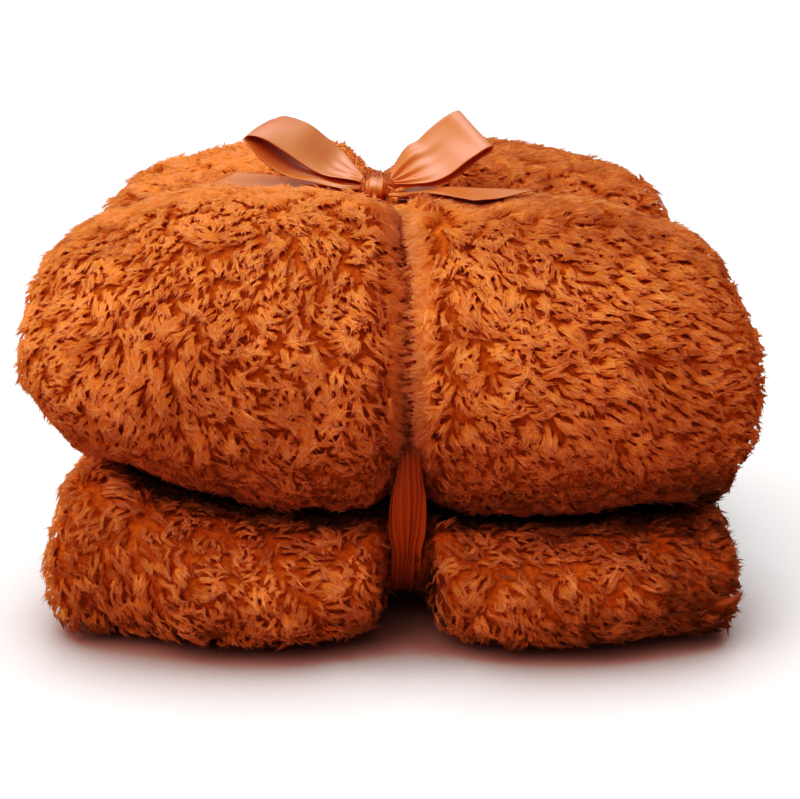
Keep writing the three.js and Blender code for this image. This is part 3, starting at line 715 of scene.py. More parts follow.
def locks(root, nrm, way, length, width, curl, seed, tone_and_painted_shade, lean_over, pull, rings, cloth_n, flat=0.6):
    """Vertices, faces and attributes of curved, pointed, slightly flat tufts."""
    n, k = len(root), len(rings)
    m = 3 * k + 2
    side = unit(np.cross(nrm, way))
    verts = np.empty((n, m, 3))
    tip = np.empty((n, m))
    fibre = np.zeros((n, m, 3))
    turn = seed * 2 * np.pi

    def centre(u):
        rise = nrm * (length * (1.0 - lean_over * u) * u)[:, None]
        over = way * (length * lean_over * (0.25 * u + 0.75 * u * u) * 1.15)[:, None]
        aside = side * (length * curl * u * u)[:, None]
        return root + rise + over + aside + pull * u**1.6

    def floor_clamp(q):
        low = q[:, 2] < 0.5
        q[low, 2] = 0.5 + 0.15 * np.clip(q[low, 2] + 6, 0, 6) / 6
        return q

    verts[:, 0] = centre(0.0)
    tip[:, 0] = 0.0
    soft = np.empty((n, m, 3))  # the light falls softly: each strand is lit partly as the cloth under it
    soft[:, 0] = cloth_n
    soft[:, -1] = unit(cloth_n + 0.8 * unit(centre(1.0) - centre(0.9)))
    for j, (u, w) in enumerate(rings):
        c = centre(u)
        tan = unit(centre(u + 0.03) - centre(u - 0.03))
        e1 = unit(np.cross(tan, side))
        e2 = unit(np.cross(tan, e1))
        for i in range(3):
            a = turn * 0.2 + 2 * np.pi * i / 3 + math.pi / 2
            q = c + e2 * (np.cos(a) * width * w * 0.58)[:, None] + e1 * (np.sin(a) * width * w * flat * 0.58)[:, None]
            verts[:, 1 + 3 * j + i] = q
            soft[:, 1 + 3 * j + i] = unit(unit(q - c) + SOFT * cloth_n)
            tip[:, 1 + 3 * j + i] = u
            fibre[:, 1 + 3 * j + i, 0] = np.cos(a)
            fibre[:, 1 + 3 * j + i, 1] = np.sin(a)
    verts[:, -1] = centre(1.0)
    tip[:, -1] = 1.0
    fibre[:, :, 2] = tip
    fibre += (seed * 97.0)[:, None, None]
    verts = floor_clamp(verts.reshape(-1, 3)).reshape(n, m, 3)
    f = []
    for i in range(3):
        i2 = (i + 1) % 3
        f.append((0, 1 + i2, 1 + i))
        for j in range(k - 1):
            p0, p1, q0, q1 = 1 + 3 * j + i, 1 + 3 * j + i2, 4 + 3 * j + i, 4 + 3 * j + i2
            f += [(p0, p1, q1), (p0, q1, q0)]
        f.append((1 + 3 * (k - 1) + i, 1 + 3 * (k - 1) + i2, m - 1))
    faces = (np.arange(n) * m)[:, None, None] + np.array(f)[None]
    # faces point out: the rings run the same way round for every lock
    v = verts[0]
    t = np.array(f)
    if np.einsum("ij,ij->i", v[t[:, 0]], np.cross(v[t[:, 1]], v[t[:, 2]])).sum() < 0:
        faces = faces[:, :, ::-1]
    rep = lambda x: np.repeat(x, m)
    return verts.reshape(-1, 3), faces.reshape(-1, 3), tip.ravel(), rep(seed), rep(tone_and_painted_shade), fibre.reshape(-1, 3), soft.reshape(-1, 3)


def places(step, grids, least):
    """Jittered places over both faces and round the four edges, with what is seen of each."""
    got = []
    for side in (1, -1):
        ns, nt = int(LEN_AL / step), int(LEN_AC / step)
        gi, gj = np.meshgrid(np.arange(ns), np.arange(nt), indexing="ij")
        s = (gi.ravel() + 0.5 + 0.9 * (rng.random(ns * nt) - 0.5)) * step
        t = (gj.ravel() + 0.5 * (gi.ravel() % 2) + 0.25 + 0.9 * (rng.random(ns * nt) - 0.5)) * step
        s, t = np.clip(s, 0.3, LEN_AL - 0.3), np.clip(t, 0.3, LEN_AC - 0.3)
        e = sample(grids[side], s, t)
        ok = e > least
        s, t, e = s[ok], t[ok], e[ok]
        p, n, u, v = frame_at(s, t, side * ROOT)
        got.append((p, n * side, e))
    for fixed, total, along_s in ((0.0, LEN_AC, False), (LEN_AL, LEN_AC, False), (0.0, LEN_AL, True), (LEN_AC, LEN_AL, True)):
        m = int(total / (step * 0.8))
        for k in (-0.5, 0.5):
            q = (np.arange(m) + 0.5 + 0.8 * (rng.random(m) - 0.5)) * total / m
            f = np.full(m, fixed)
            s, t = (q, f) if along_s else (f, q)
            p, n, u, v = frame_at(s, t, 0.0 * q)
            outward = (v if along_s else u) * (1 if fixed > 0 else -1)
            a, b = sample(grids[1], s, t), sample(grids[-1], s, t)
            e = np.maximum(a, b)
            ok = e > least
            got.append((p[ok] + n[ok] * k * ROOT * 1.4, unit(outward + n * k * 0.9)[ok], e[ok]))
    return tuple(np.concatenate([g_[i] for g_ in got]) for i in range(3))


grids = {side: exposure(side) for side in (1, -1)}
ribbon_tree = []
for ob in ribbons:
    co = np.empty(len(ob.data.vertices) * 3)
    ob.data.vertices.foreach_get("co", co)
    faces_ = [tuple(q.vertices) for q in ob.data.polygons]
    ribbon_tree.append(BVHTree.FromPolygons((co.reshape(-1, 3) / MM).tolist(), faces_))


def comb_at(q):
    out = np.zeros((len(q), 4))
    tot = np.full(len(q), 1e-6)
    for x, y, z, dx, dy, dz, reach, tidy in COMB:
        w = np.exp(-((q - np.array([x, y, z])) ** 2).sum(1) / (reach * 0.7) ** 2)
        out += w[:, None] * np.array([dx, dy, dz, tidy])
        tot += w
    return out / tot[:, None]


def band_lean(q):
    """How the pile by the lengthwise round leans: over it high up at the front and on top, off it low down."""
    line = band_line(q[:, 1] - SHIFT[1]) + SHIFT[0]
    off = q[:, 0] - line
    near = np.exp(-((np.abs(off) - 9) / 16).clip(0) ** 2) * smooth((34 - np.abs(off)) / 20)
    front = q[:, 1] < -20
    high = smooth((q[:, 2] - 105) / 60)
    amount = np.where(front, 1.15 * high - 0.55 * (1 - high), 0.55)
    out = np.zeros_like(q)
    out[:, 0] = -np.sign(off) * amount * near
    off_y = q[:, 1] - SHIFT[1]
    near_y = smooth((30 - np.abs(off_y)) / 20)
    out[:, 1] -= np.sign(off_y) * 0.55 * near_y
    return out


from mathutils.kdtree import KDTree


def index_of(points):
    kd = KDTree(len(points))
    for i, q in enumerate(points):
        kd.insert(q, i)
    kd.balance()
    return kd


def nearest(kd, normals, q, n):
    """The nearest of the places on the same face of the cloth."""
    out = np.empty(len(q), int)
    for i in range(len(q)):
        best = None
        for co_, j, dist in kd.find_n(q[i], 4):
            if n[i] @ normals[j] > 0.35:
                best = j
                break
            if best is None:
                best = j
        out[i] = best
    return out


def lie(way, n):
    """A direction laid into the cloth."""
    return unit(way - n * (way * n).sum(1, keepdims=True))


def towards(target, q, n, most):
    off = target - q
    off = off - n * (off * n).sum(1, keepdims=True)
    far = np.linalg.norm(off, axis=1)
    return off * np.minimum(1, most / np.maximum(far, 1e-6))[:, None], far


# Clumps of tufts: each lies its own way, round the way that the place is combed.
cp, cn, ce = places(11.0, grids, 0.03)
raw = comb_at(cp)
c_rough = 1 - 0.75 * raw[:, 3]
cway = raw[:, :3] + band_lean(cp) * 1.2
cway = cway + c_rough[:, None] * (
    0.45 * np.stack([swirl_a(cp), swirl_b(cp), swirl_a(cp + 40)], 1) + 0.55 * rng.normal(size=cp.shape)
)
cway = lie(cway, cn)
clift, cshade, cturn = (rng.normal(size=len(cp)) for _ in range(3))
kd_c = index_of(cp)

# Tufts: a few strands whose tips come together in a point.
tp, tn, te = places(3.4, grids, 0.05)
tj = nearest(kd_c, cn, tp, tn)
raw = comb_at(tp)
t_rough = 1 - 0.75 * raw[:, 3]
tway = 0.8 * cway[tj] + 0.35 * lie(raw[:, :3] + 1.2 * band_lean(tp), tn) + (0.34 * t_rough)[:, None] * rng.normal(size=tp.shape)
tway = lie(tway, tn)
tpull, tfar = towards(cp[tj], tp, tn, 8.0)
tpull *= 0.28
tlift = 0.75 * clift[tj] + 0.6 * rng.normal(size=len(tp))
tlong = 1 + 0.07 * cturn[tj] + 0.12 * rng.normal(size=len(tp)) + 0.10 * lean(tp)
tcurl = t_rough * (0.38 * rng.normal(size=len(tp)) + 0.20 * cturn[tj])
tuft_tone_and_painted_shade = (0.09 * cshade[tj] + 0.08 * rng.normal(size=len(tp))) * (1 - 0.5 * smooth((tp[:, 2] - 170) / 40) + 1.1 * smooth((140 - tp[:, 2]) / 50))
# A clump is a soft mound: high in its middle, lower round its edge, and lit as one. Its edge is painted darker, and
# places that see little out of the stack much darker: painted shade between clumps and in the gaps between the folds.
c_off = tp - cp[tj]
c_off = c_off - tn * (c_off * tn).sum(1, keepdims=True)
t_in = 1 - np.clip(np.linalg.norm(c_off, axis=1) / 7.0, 0, 1)
t_round = unit(tn + 0.075 * c_off)
tlift += 0.9 * (t_in - 0.45)
tuft_tone_and_painted_shade += 0.20 * (t_in - 0.45) - 1.0 * (1 - smooth((te - 0.08) / 0.30))

LONG, WIDE = 11.8, 3.2


def by_band(q):
    """0 away from the lengthwise round, 1 beside it high up at the front and on top, -1 beside it low down."""
    off = np.abs(q[:, 0] - band_line(q[:, 1] - SHIFT[1]) - SHIFT[0])
    near = smooth((27 - off) / 13)
    high = np.where(q[:, 1] < -20, smooth((q[:, 2] - 98) / 30) * 1.6 - 0.6, 0.5)
    return near * high


def shape_at(q, n, seen, lift, long, rough):
    """How long the pile is at a place and how far it lies over."""
    band = by_band(q)
    up = np.maximum(band, 0)
    off = q[:, 0] - band_line(q[:, 1] - SHIFT[1]) - SHIFT[0]
    facing = np.clip(-np.sign(off) * n[:, 0], 0, 1)
    over = np.clip(0.64 - 0.10 * lift, 0.38, 0.86)
    over = over * (1 - up) + (0.66 - 0.36 * facing) * up
    length = LONG * np.clip(long, 0.6, 1.4) * (1 + 0.30 * up + 0.15 * np.minimum(band, 0))
    length = length * (0.5 + 0.5 * smooth((seen - 0.08) / 0.3))
    # shorter on the sides of the upper folds and under them, longer at the lowest corners
    upper = smooth((q[:, 2] - 85) / 30)
    length = length * (1 - 0.28 * upper * smooth((np.abs(q[:, 0]) - 165) / 35))
    length = length * (1 - 0.45 * smooth((-n[:, 2] - 0.1) / 0.4) * upper)
    corner = smooth((42 - q[:, 2]) / 25) * smooth((np.abs(q[:, 0]) - 150) / 35) * smooth((-60 - q[:, 1]) / 60)
    return length * (1 + 0.22 * corner), over * (1 - 0.2 * corner)


def clear_of_ribbon(q, keep, stand, way, length, over, pull, spare):
    """Shortens or drops what would go through the ribbon."""
    tip_at = q + stand * (length * (1 - over))[:, None] + way * (length * over * 1.15)[:, None] + pull
    for i in range(len(q)):
        if not keep[i]:
            continue
        d = tip_at[i] - q[i]
        reach = float(np.linalg.norm(d))
        o = Vector(q[i])
        for t_ in ribbon_tree:
            hit = t_.ray_cast(o, Vector(d), reach + spare)
            if hit[0] is not None:
                scale = (hit[3] - spare) / reach
                if scale < 0.35:
                    keep[i] = False
                    break
                length[i] *= scale
                pull[i] *= scale
                reach *= scale
                d = d * scale


# The tufts' own bodies: plump, leaf-like and pointed.
t_len, t_over = shape_at(tp, tn, te, tlift, tlong, t_rough)
t_stand = unit(tn + 0.10 * rng.normal(size=tp.shape))
t_low = (tp[:, 2] < 15) & (tn[:, 2] < -0.25)
t_stand[t_low, 2] *= 0.3
t_stand[t_low] = unit(t_stand[t_low] + 1e-6)
t_keep = te > 0.1
t_keep[(tn[:, 2] < -0.8) & (tp[:, 2] < 14)] &= rng.random(((tn[:, 2] < -0.8) & (tp[:, 2] < 14)).sum()) < 0.15
clear_of_ribbon(tp, t_keep, t_stand, tway, t_len, t_over, tpull, 2.2)
t_width = WIDE * (0.8 + 0.4 * rng.random(len(tp)))
t_seed = rng.random(len(tp))
t_tone_and_painted_shade = 0.46 + 0.08 * tone(tp) + tuft_tone_and_painted_shade
# painted shade: the pile is painted darker low down under the upper folds, and darker on the right side, low and high,
# away from the light at the upper left
t_tone_and_painted_shade = t_tone_and_painted_shade - (0.54 - 0.26 * smooth((80 - tp[:, 2]) / 20)) * smooth((140 - tp[:, 2]) / 50) - 0.40 * smooth((tp[:, 0] - 10) / 60) * smooth((140 - tp[:, 2]) / 50)
t_tone_and_painted_shade = t_tone_and_painted_shade - 0.50 * smooth((tp[:, 0] - 120) / 80) * smooth((260 - tp[:, 2]) / 60)
t_tone_and_painted_shade = t_tone_and_painted_shade - 0.26 * smooth((tp[:, 0] + 10) / 90) * smooth((tp[:, 2] - 235) / 30) - 0.20 * smooth((tp[:, 0] - 10) / 60) * smooth((tp[:, 2] - 180) / 40)
# painted shade: the pile on top, where it faces up, is painted darker
t_tone_and_painted_shade = t_tone_and_painted_shade - 0.50 * smooth((tn[:, 2] - 0.5) / 0.4) * smooth((tp[:, 2] - 190) / 40)
tufts = [x[t_keep] for x in (tp, t_stand, tway, t_len, t_width, tcurl, t_seed, t_tone_and_painted_shade, t_over, tpull)]
tuft_normal = t_round[t_keep]


# High up at the front and on top the pile closes over the ribbon from both sides.
def over_ribbon(count):
    rows = []
    for i in range(count):
        r = rng.random(7)
        side = -1.0 if i % 2 else 1.0
        dx = side * (6.0 + 10.5 * r[0])
        if r[1] < 0.52:
            z = 248 - 104 * r[2] ** 1.3
            x = float(band_line(np.array([-165.0]))[0]) + SHIFT[0] + dx
            o, d, down = Vector((x, -320, z)), Vector((0, 1, 0)), np.array([0, 0, -1.0])
        else:
            y = -128 + 106 * r[2]
            x = float(band_line(np.array([y]))[0]) + SHIFT[0] + dx
            o, d, down = Vector((x, y, 420)), Vector((0, 0, -1)), np.array([0, -1.0, 0])
        hit = tree.ray_cast(o, d, 400)
        if hit[0] is None:
            continue
        n = np.array(hit[1])
        n = n if n @ np.array(d) < 0 else -n
        stand = unit((n * 0.35 - np.array(d) * 0.65)[None])[0]
        way = unit((np.array([-side, 0, 0]) * (0.55 + 0.5 * r[6]) + down * (0.15 + 1.0 * r[3]) + 0.36 * rng.normal(size=3))[None])[0]
        way = unit((way - stand * (way @ stand))[None])[0]
        lean_over = 0.60 + 0.12 * r[4]
        length = min((abs(dx) + 1 + 3 * r[5]) / (lean_over * 1.15), 17.0)
        # these tufts are painted darker than the pile round them: painted shade of the crease they close over
        rows.append((np.array(hit[0]), stand, way, length, 3.4 + 1.2 * r[6], 0.2 * (r[3] - 0.5), r[5], -0.04 + 0.18 * r[6], lean_over, n))
    p, st, wy, le, wi, cu, se, sh, lo, nn = (np.array([q[i] for q in rows]) for i in range(10))
    keep = np.ones(len(p), bool)
    for u0, u1 in ((0.15, 0.4), (0.4, 0.7), (0.7, 1.0)):
        a, b = (
            p + st * (le * (1 - lo * u) * u)[:, None] + wy * (le * lo * (0.25 * u + 0.75 * u * u) * 1.15)[:, None]
            for u in (u0, u1)
        )
        for i in np.nonzero(keep)[0]:
            d = b[i] - a[i]
            far = float(np.linalg.norm(d))
            if any(t_.ray_cast(Vector(a[i]), Vector(d), far + 0.4)[0] is not None for t_ in ribbon_tree):
                keep[i] = False
    print("over the ribbon", keep.sum(), "of", count)
    return [q[keep] for q in (p, st, wy, le, wi, cu, se, sh, lo, np.zeros_like(p))], nn[keep]


over_rows, over_normal = over_ribbon(1700)
tufts = [np.concatenate([a, b]) for a, b in zip(tufts, over_rows)]
tuft_normal = np.concatenate([tuft_normal, over_normal])

# Each tuft splits towards its end: thin slivers leave its body and spread past its tip.
def arc(p, st, wy, le, lo, cu, pl, u):
    side = unit(np.cross(st, wy))
    u = np.asarray(u)
    return (
        p + st * (le * (1.0 - lo * u) * u)[:, None] + wy * (le * lo * (0.25 * u + 0.75 * u * u) * 1.15)[:, None]
        + side * (le * cu * u * u)[:, None] + pl * (u**1.6)[:, None]
    )


def slivers(tuft, normal, which):
    """Four-sided closed slivers: three points at the foot and the tip."""
    p, st, wy, le, wi, cu, se, sh, lo, pl = (x[which] for x in tuft)
    n = len(which)
    side = unit(np.cross(st, wy))
    foot_u = 0.30 + 0.35 * rng.random(n)
    lane = rng.normal(size=n) * 0.30
    foot = arc(p, st, wy, le, lo, cu, pl, foot_u) + side * (lane * wi * 0.8)[:, None] + normal[which] * 0.35
    end = arc(p, st, wy, le, lo, cu, pl, np.full(n, 1.0)) + (
        wy * (0.2 + 2.2 * rng.random(n))[:, None] + side * (lane * 3.2 + 1.1 * rng.normal(size=n))[:, None]
        + normal[which] * (1.0 * rng.normal(size=n) + 0.5)[:, None]
    )
    for i in range(n):
        d = end[i] - foot[i]
        for t_ in ribbon_tree:
            hit = t_.ray_cast(Vector(foot[i]), Vector(d), 14.0)
            if hit[0] is not None and hit[3] < np.linalg.norm(d) + 0.5:
                end[i] = foot[i] + d * max(0.1, (hit[3] - 0.5) / np.linalg.norm(d))
    along = unit(end - foot)
    e1 = unit(np.cross(along, side))
    e2 = unit(np.cross(along, e1))
    thick = 0.62 * (0.7 + 0.6 * rng.random(n))
    v = np.empty((n, 4, 3))
    soft = np.empty((n, 4, 3))
    for i in range(3):
        a_ = 2 * np.pi * i / 3 + math.pi / 2
        off = e2 * np.cos(a_) + e1 * np.sin(a_)
        v[:, i] = foot + off * thick[:, None]
        soft[:, i] = unit(off * 0.7 + SOFT * normal[which])
    v[:, 3] = end
    soft[:, 3] = unit(normal[which] + 0.5 * along)
    low = v[..., 2] < 0.5
    v[..., 2][low] = 0.5
    tip_ = np.repeat(np.stack([foot_u, foot_u, foot_u, np.full(n, 1.0)], 1) + 0.12, 1, axis=0)
    tri = np.array([(0, 2, 1), (0, 1, 3), (1, 2, 3), (2, 0, 3)])
    if np.einsum("i,i->", v[0, tri[1, 0]] - v[0].mean(0), np.cross(v[0, 1] - v[0, 0], v[0, 3] - v[0, 0])) < 0:
        tri = tri[:, ::-1]
    faces = (np.arange(n) * 4)[:, None, None] + tri[None]
    rep4 = lambda x: np.repeat(x, 4)
    fibre = np.zeros((n, 4, 3))
    fibre[:, :, 2] = tip_
    fibre[:, :, 0] = np.array([0.2, 0.0, -0.2, 0.0])[None]
    tip_ = tip_ - 0.10
    fibre += (rng.random(n) * 97.0)[:, None, None]
    tone_and_painted_shade = sh + 0.04 + 0.12 * rng.normal(size=n)
    return v.reshape(-1, 3), faces.reshape(-1, 3), tip_.ravel(), rep4(rng.random(n)), rep4(tone_and_painted_shade), fibre.reshape(-1, 3), soft.reshape(-1, 3)


seen_tuft = np.concatenate([te[t_keep], np.full(len(over_rows[0]), 0.1)])
low_tuft = (tufts[0][:, 2] < 14) & (tuft_normal[:, 2] < -0.7)
split = np.repeat(np.nonzero((seen_tuft > 0.18) & ~low_tuft)[0], 2)
print("tufts", len(tufts[0]), "slivers", len(split), "triangles", len(tufts[0]) * 6 + len(split) * 4)


def halves(ids, q, weight, most):
    if weight[ids].sum() <= most:
        return [ids]
    ax = int(np.argmax(np.ptp(q[ids], axis=0)))
    ids = ids[np.argsort(q[ids, ax], kind="stable")]
    cut = int(np.searchsorted(np.cumsum(weight[ids]), weight[ids].sum() / 2))
    return halves(ids[:cut], q, weight, most) + halves(ids[cut:], q, weight, most)


tuft_weight = 6.0 + 4.0 * np.bincount(split, minlength=len(tufts[0]))
# painted shade: the ground is painted darker where it sees little out of the stack, in the hollows and gaps
ground_co = np.empty(len(blanket.data.vertices) * 3)
blanket.data.vertices.foreach_get("co", ground_co)
kd_g = index_of(tp[::3])
ground_seen = np.array([te[::3][kd_g.find(q)[1]] for q in ground_co.reshape(-1, 3) / MM])
blanket.data.attributes.new("seen", "FLOAT", "POINT").data.foreach_set("value", smooth((ground_seen - 0.05) / 0.35))
fleece_parts = []
for k, ids in enumerate(halves(np.arange(len(tufts[0])), tufts[0], tuft_weight, 195000)):
    mine = np.zeros(len(tufts[0]), bool)
    mine[ids] = True
    one = locks(*[x[ids] for x in tufts], LEAF, tuft_normal[ids], 0.5)
    two = slivers(tufts, tuft_normal, split[mine[split]])
    v_, t_, s_, h_, b_, n_ = (np.concatenate([one[i], two[i]]) for i in (0, 2, 3, 4, 5, 6))
    f_ = np.concatenate([one[1], two[1] + len(one[0])])
    ob = new_mesh("pile_%d" % (k + 1), v_, [f_], [("tip", t_), ("seed", s_), ("tone_and_painted_shade", h_), ("fibre", b_)])
    ob.data.normals_split_custom_set_from_vertices(n_)
    fleece_parts.append(ob)


# ---------------------------------------------------------------- materials
def nodes_of(mat):
    mat.use_nodes = True
    nt = mat.node_tree
    nt.nodes.clear()
    out = nt.nodes.new("ShaderNodeOutputMaterial")
    bs = nt.nodes.new("ShaderNodeBsdfPrincipled")
    nt.links.new(bs.outputs[0], out.inputs[0])
    return nt, bs


def srgb(r, g_, b_):
    f = lambda c: (c / 255 / 12.92) if c / 255 <= 0.04045 else ((c / 255 + 0.055) / 1.055) ** 2.4
    return (f(r), f(g_), f(b_), 1.0)


def fleece_material(name, is_lock):
    mat = bpy.data.materials.new(name)
    nt, bs = nodes_of(mat)
    N, L = nt.nodes, nt.links
    bs.inputs["Roughness"].default_value = 0.9
    bs.inputs["Sheen Weight"].default_value = 0.08
    bs.inputs["Sheen Roughness"].default_value = 0.4
    bs.inputs["Sheen Tint"].default_value = (1.0, 0.54, 0.34, 1)
    bs.inputs["Specular IOR Level"].default_value = 0.0
    bs.subsurface_method = "BURLEY"
    bs.inputs["Subsurface Weight"].default_value = 1.0 if is_lock else 0.5
    bs.inputs["Subsurface Radius"].default_value = (1.0, 0.8, 0.7)
    bs.inputs["Subsurface Scale"].default_value = 0.022 if is_lock else 0.0045
    co = N.new("ShaderNodeTexCoord")
    if not is_lock:
        no = N.new("ShaderNodeTexNoise")
        no.inputs["Scale"].default_value = 260
        no.inputs["Detail"].default_value = 4
        L.new(co.outputs["Object"], no.inputs["Vector"])
        ramp = N.new("ShaderNodeValToRGB")
        ramp.color_ramp.elements[0].position = 0.3
        ramp.color_ramp.elements[0].color = (0.40, 0.055, 0.007, 1)
        ramp.color_ramp.elements[1].position = 0.72
        ramp.color_ramp.elements[1].color = (0.66, 0.115, 0.016, 1)
        L.new(no.outputs["Fac"], ramp.inputs["Fac"])
        # painted shade: the ground's colour is multiplied down where it sees little out of the stack
        deep = N.new("ShaderNodeAttribute")
        deep.attribute_name = "seen"
        dm = N.new("ShaderNodeMapRange")
        dm.inputs["To Min"].default_value = 0.06
        dm.inputs["To Max"].default_value = 1.0
        L.new(deep.outputs["Fac"], dm.inputs["Value"])
        dx = N.new("ShaderNodeMix")
        dx.data_type = "RGBA"
        dx.blend_type = "MULTIPLY"
        dx.inputs["Factor"].default_value = 1.0
        L.new(ramp.outputs["Color"], dx.inputs["A"])
        L.new(dm.outputs["Result"], dx.inputs["B"])
        L.new(dx.outputs["Result"], bs.inputs["Base Color"])
        bump = N.new("ShaderNodeBump")
        bump.inputs["Strength"].default_value = 1.0
        bump.inputs["Distance"].default_value = 0.003
        L.new(no.outputs["Fac"], bump.inputs["Height"])
        L.new(bump.outputs["Normal"], bs.inputs["Normal"])
        return mat
    tip = N.new("ShaderNodeAttribute")
    tip.attribute_name = "tip"
    sh = N.new("ShaderNodeAttribute")
    sh.attribute_name = "tone_and_painted_shade"
    sd = N.new("ShaderNodeAttribute")
    sd.attribute_name = "seed"
    # darker at the root and paler at the tip: painted shade deep in the pile and a painted highlight on the tips
    ramp = N.new("ShaderNodeValToRGB")
    cr = ramp.color_ramp
    cr.elements[0].position = 0.0
    cr.elements[0].color = (0.62, 0.108, 0.016, 1)
    cr.elements[1].position = 1.0
    cr.elements[1].color = (0.69, 0.212, 0.115, 1)
    e = cr.elements.new(0.5)
    e.color = (0.65, 0.130, 0.027, 1)
    e = cr.elements.new(0.8)
    e.color = (0.67, 0.160, 0.056, 1)
    L.new(tip.outputs["Fac"], ramp.inputs["Fac"])
    # lock by lock lighter or darker: tone that differs at random, with painted shade where the pile is painted darker
    hsv = N.new("ShaderNodeHueSaturation")
    mv = N.new("ShaderNodeMapRange")
    mv.inputs["From Min"].default_value = 0.0
    mv.inputs["From Max"].default_value = 1.0
    mv.clamp = False
    mv.inputs["To Min"].default_value = 0.58
    mv.inputs["To Max"].default_value = 0.95
    L.new(sh.outputs["Fac"], mv.inputs["Value"])
    L.new(mv.outputs["Result"], hsv.inputs["Value"])
    mh = N.new("ShaderNodeMapRange")
    mh.inputs["To Min"].default_value = 0.497
    mh.inputs["To Max"].default_value = 0.504
    L.new(sd.outputs["Fac"], mh.inputs["Value"])
    L.new(mh.outputs["Result"], hsv.inputs["Hue"])
    L.new(ramp.outputs["Color"], hsv.inputs["Color"])
    # fine fibres along each lock
    fb = N.new("ShaderNodeAttribute")
    fb.attribute_name = "fibre"
    mp = N.new("ShaderNodeMapping")
    mp.inputs["Scale"].default_value = (2.1, 2.1, 0.7)
    L.new(fb.outputs["Vector"], mp.inputs["Vector"])
    no = N.new("ShaderNodeTexNoise")
    no.inputs["Scale"].default_value = 1.0
    no.inputs["Detail"].default_value = 3
    no.inputs["Roughness"].default_value = 0.6
    L.new(mp.outputs["Vector"], no.inputs["Vector"])
    mix = N.new("ShaderNodeMix")
    mix.data_type = "RGBA"
    mix.blend_type = "MULTIPLY"
    mix.inputs["Factor"].default_value = 0.8
    mix.clamp_result = True
    grey = N.new("ShaderNodeMapRange")
    grey.inputs["From Min"].default_value = 0.32
    grey.inputs["From Max"].default_value = 0.68
    grey.inputs["To Min"].default_value = 0.72
    grey.inputs["To Max"].default_value = 1.30
    L.new(no.outputs["Fac"], grey.inputs["Value"])
    L.new(hsv.outputs["Color"], mix.inputs["A"])
    L.new(grey.outputs["Result"], mix.inputs["B"])
    L.new(mix.outputs["Result"], bs.inputs["Base Color"])
    bump = N.new("ShaderNodeBump")
    bump.inputs["Strength"].default_value = 0.8
    bump.inputs["Distance"].default_value = 0.0008
    L.new(no.outputs["Fac"], bump.inputs["Height"])
    L.new(bump.outputs["Normal"], bs.inputs["Normal"])
    return mat


def satin_material(name, gloss, dark, light):
    mat = bpy.data.materials.new(name)
    nt, bs = nodes_of(mat)
    N, L = nt.nodes, nt.links
    bs.inputs["Roughness"].default_value = 0.27
    bs.inputs["Specular IOR Level"].default_value = gloss
    bs.inputs["IOR"].default_value = 1.7
    bs.inputs["Specular Tint"].default_value = (1.0, 0.78, 0.55, 1)
    bs.inputs["Anisotropic"].default_value = 0.4
    bs.inputs["Sheen Weight"].default_value = 0.05
    bs.inputs["Sheen Roughness"].default_value = 0.35
    bs.inputs["Sheen Tint"].default_value = (1.0, 0.72, 0.5, 1)
    run = N.new("ShaderNodeAttribute")
    run.attribute_name = "run"
    over = N.new("ShaderNodeAttribute")
    over.attribute_name = "over"
    comb_ = N.new("ShaderNodeCombineXYZ")
    L.new(run.outputs["Fac"], comb_.inputs["X"])
    L.new(over.outputs["Fac"], comb_.inputs["Y"])
    # fine warp threads, long along the ribbon
    mp = N.new("ShaderNodeMapping")
    mp.inputs["Scale"].default_value = (0.6, 9.0, 1.0)
    L.new(comb_.outputs["Vector"], mp.inputs["Vector"])
    no = N.new("ShaderNodeTexNoise")
    no.inputs["Scale"].default_value = 1.0
    no.inputs["Detail"].default_value = 3
    L.new(mp.outputs["Vector"], no.inputs["Vector"])
    ramp = N.new("ShaderNodeValToRGB")
    ramp.color_ramp.elements[0].position = 0.25
    ramp.color_ramp.elements[0].color = dark
    ramp.color_ramp.elements[1].position = 0.8
    ramp.color_ramp.elements[1].color = light
    L.new(no.outputs["Fac"], ramp.inputs["Fac"])
    # woven selvedge: the outer millimetre of both edges is a little darker
    edge_a = N.new("ShaderNodeMath")
    edge_a.operation = "PINGPONG"
    edge_a.inputs[1].default_value = 19.0
    L.new(over.outputs["Fac"], edge_a.inputs[0])
    er = N.new("ShaderNodeMapRange")
    er.inputs["From Min"].default_value = 0.0
    er.inputs["From Max"].default_value = 1.3
    er.inputs["To Min"].default_value = 0.78
    er.inputs["To Max"].default_value = 1.0
    L.new(edge_a.outputs[0], er.inputs["Value"])
    mix = N.new("ShaderNodeMix")
    mix.data_type = "RGBA"
    mix.blend_type = "MULTIPLY"
    mix.inputs["Factor"].default_value = 1.0
    L.new(ramp.outputs["Color"], mix.inputs["A"])
    L.new(er.outputs["Result"], mix.inputs["B"])
    L.new(mix.outputs["Result"], bs.inputs["Base Color"])
    bump = N.new("ShaderNodeBump")
    bump.inputs["Strength"].default_value = 0.12
    bump.inputs["Distance"].default_value = 0.0004
    L.new(no.outputs["Fac"], bump.inputs["Height"])
    L.new(bump.outputs["Normal"], bs.inputs["Normal"])
    return mat


lock_mat = fleece_material("teddy_pile", True)
ground_mat = fleece_material("teddy_ground", False)
satin = satin_material("satin_ribbon", 0.62, (0.52, 0.088, 0.016, 1), (0.64, 0.122, 0.027, 1))
# where the ribbon lies in its grooves in the pile it's a copy of the satin with painted shade: deeper in colour and
# less glossy
satin_painted_shade = satin_material("satin_ribbon_painted_shade", 0.3, (0.45, 0.060, 0.008, 1), (0.56, 0.090, 0.013, 1))
for ob in fleece_parts:
    ob.data.materials.append(lock_mat)
blanket.data.materials.append(ground_mat)
for ob in ribbons:
    ob.data.materials.append(satin_painted_shade if ob in (band_l, band_c) else satin)

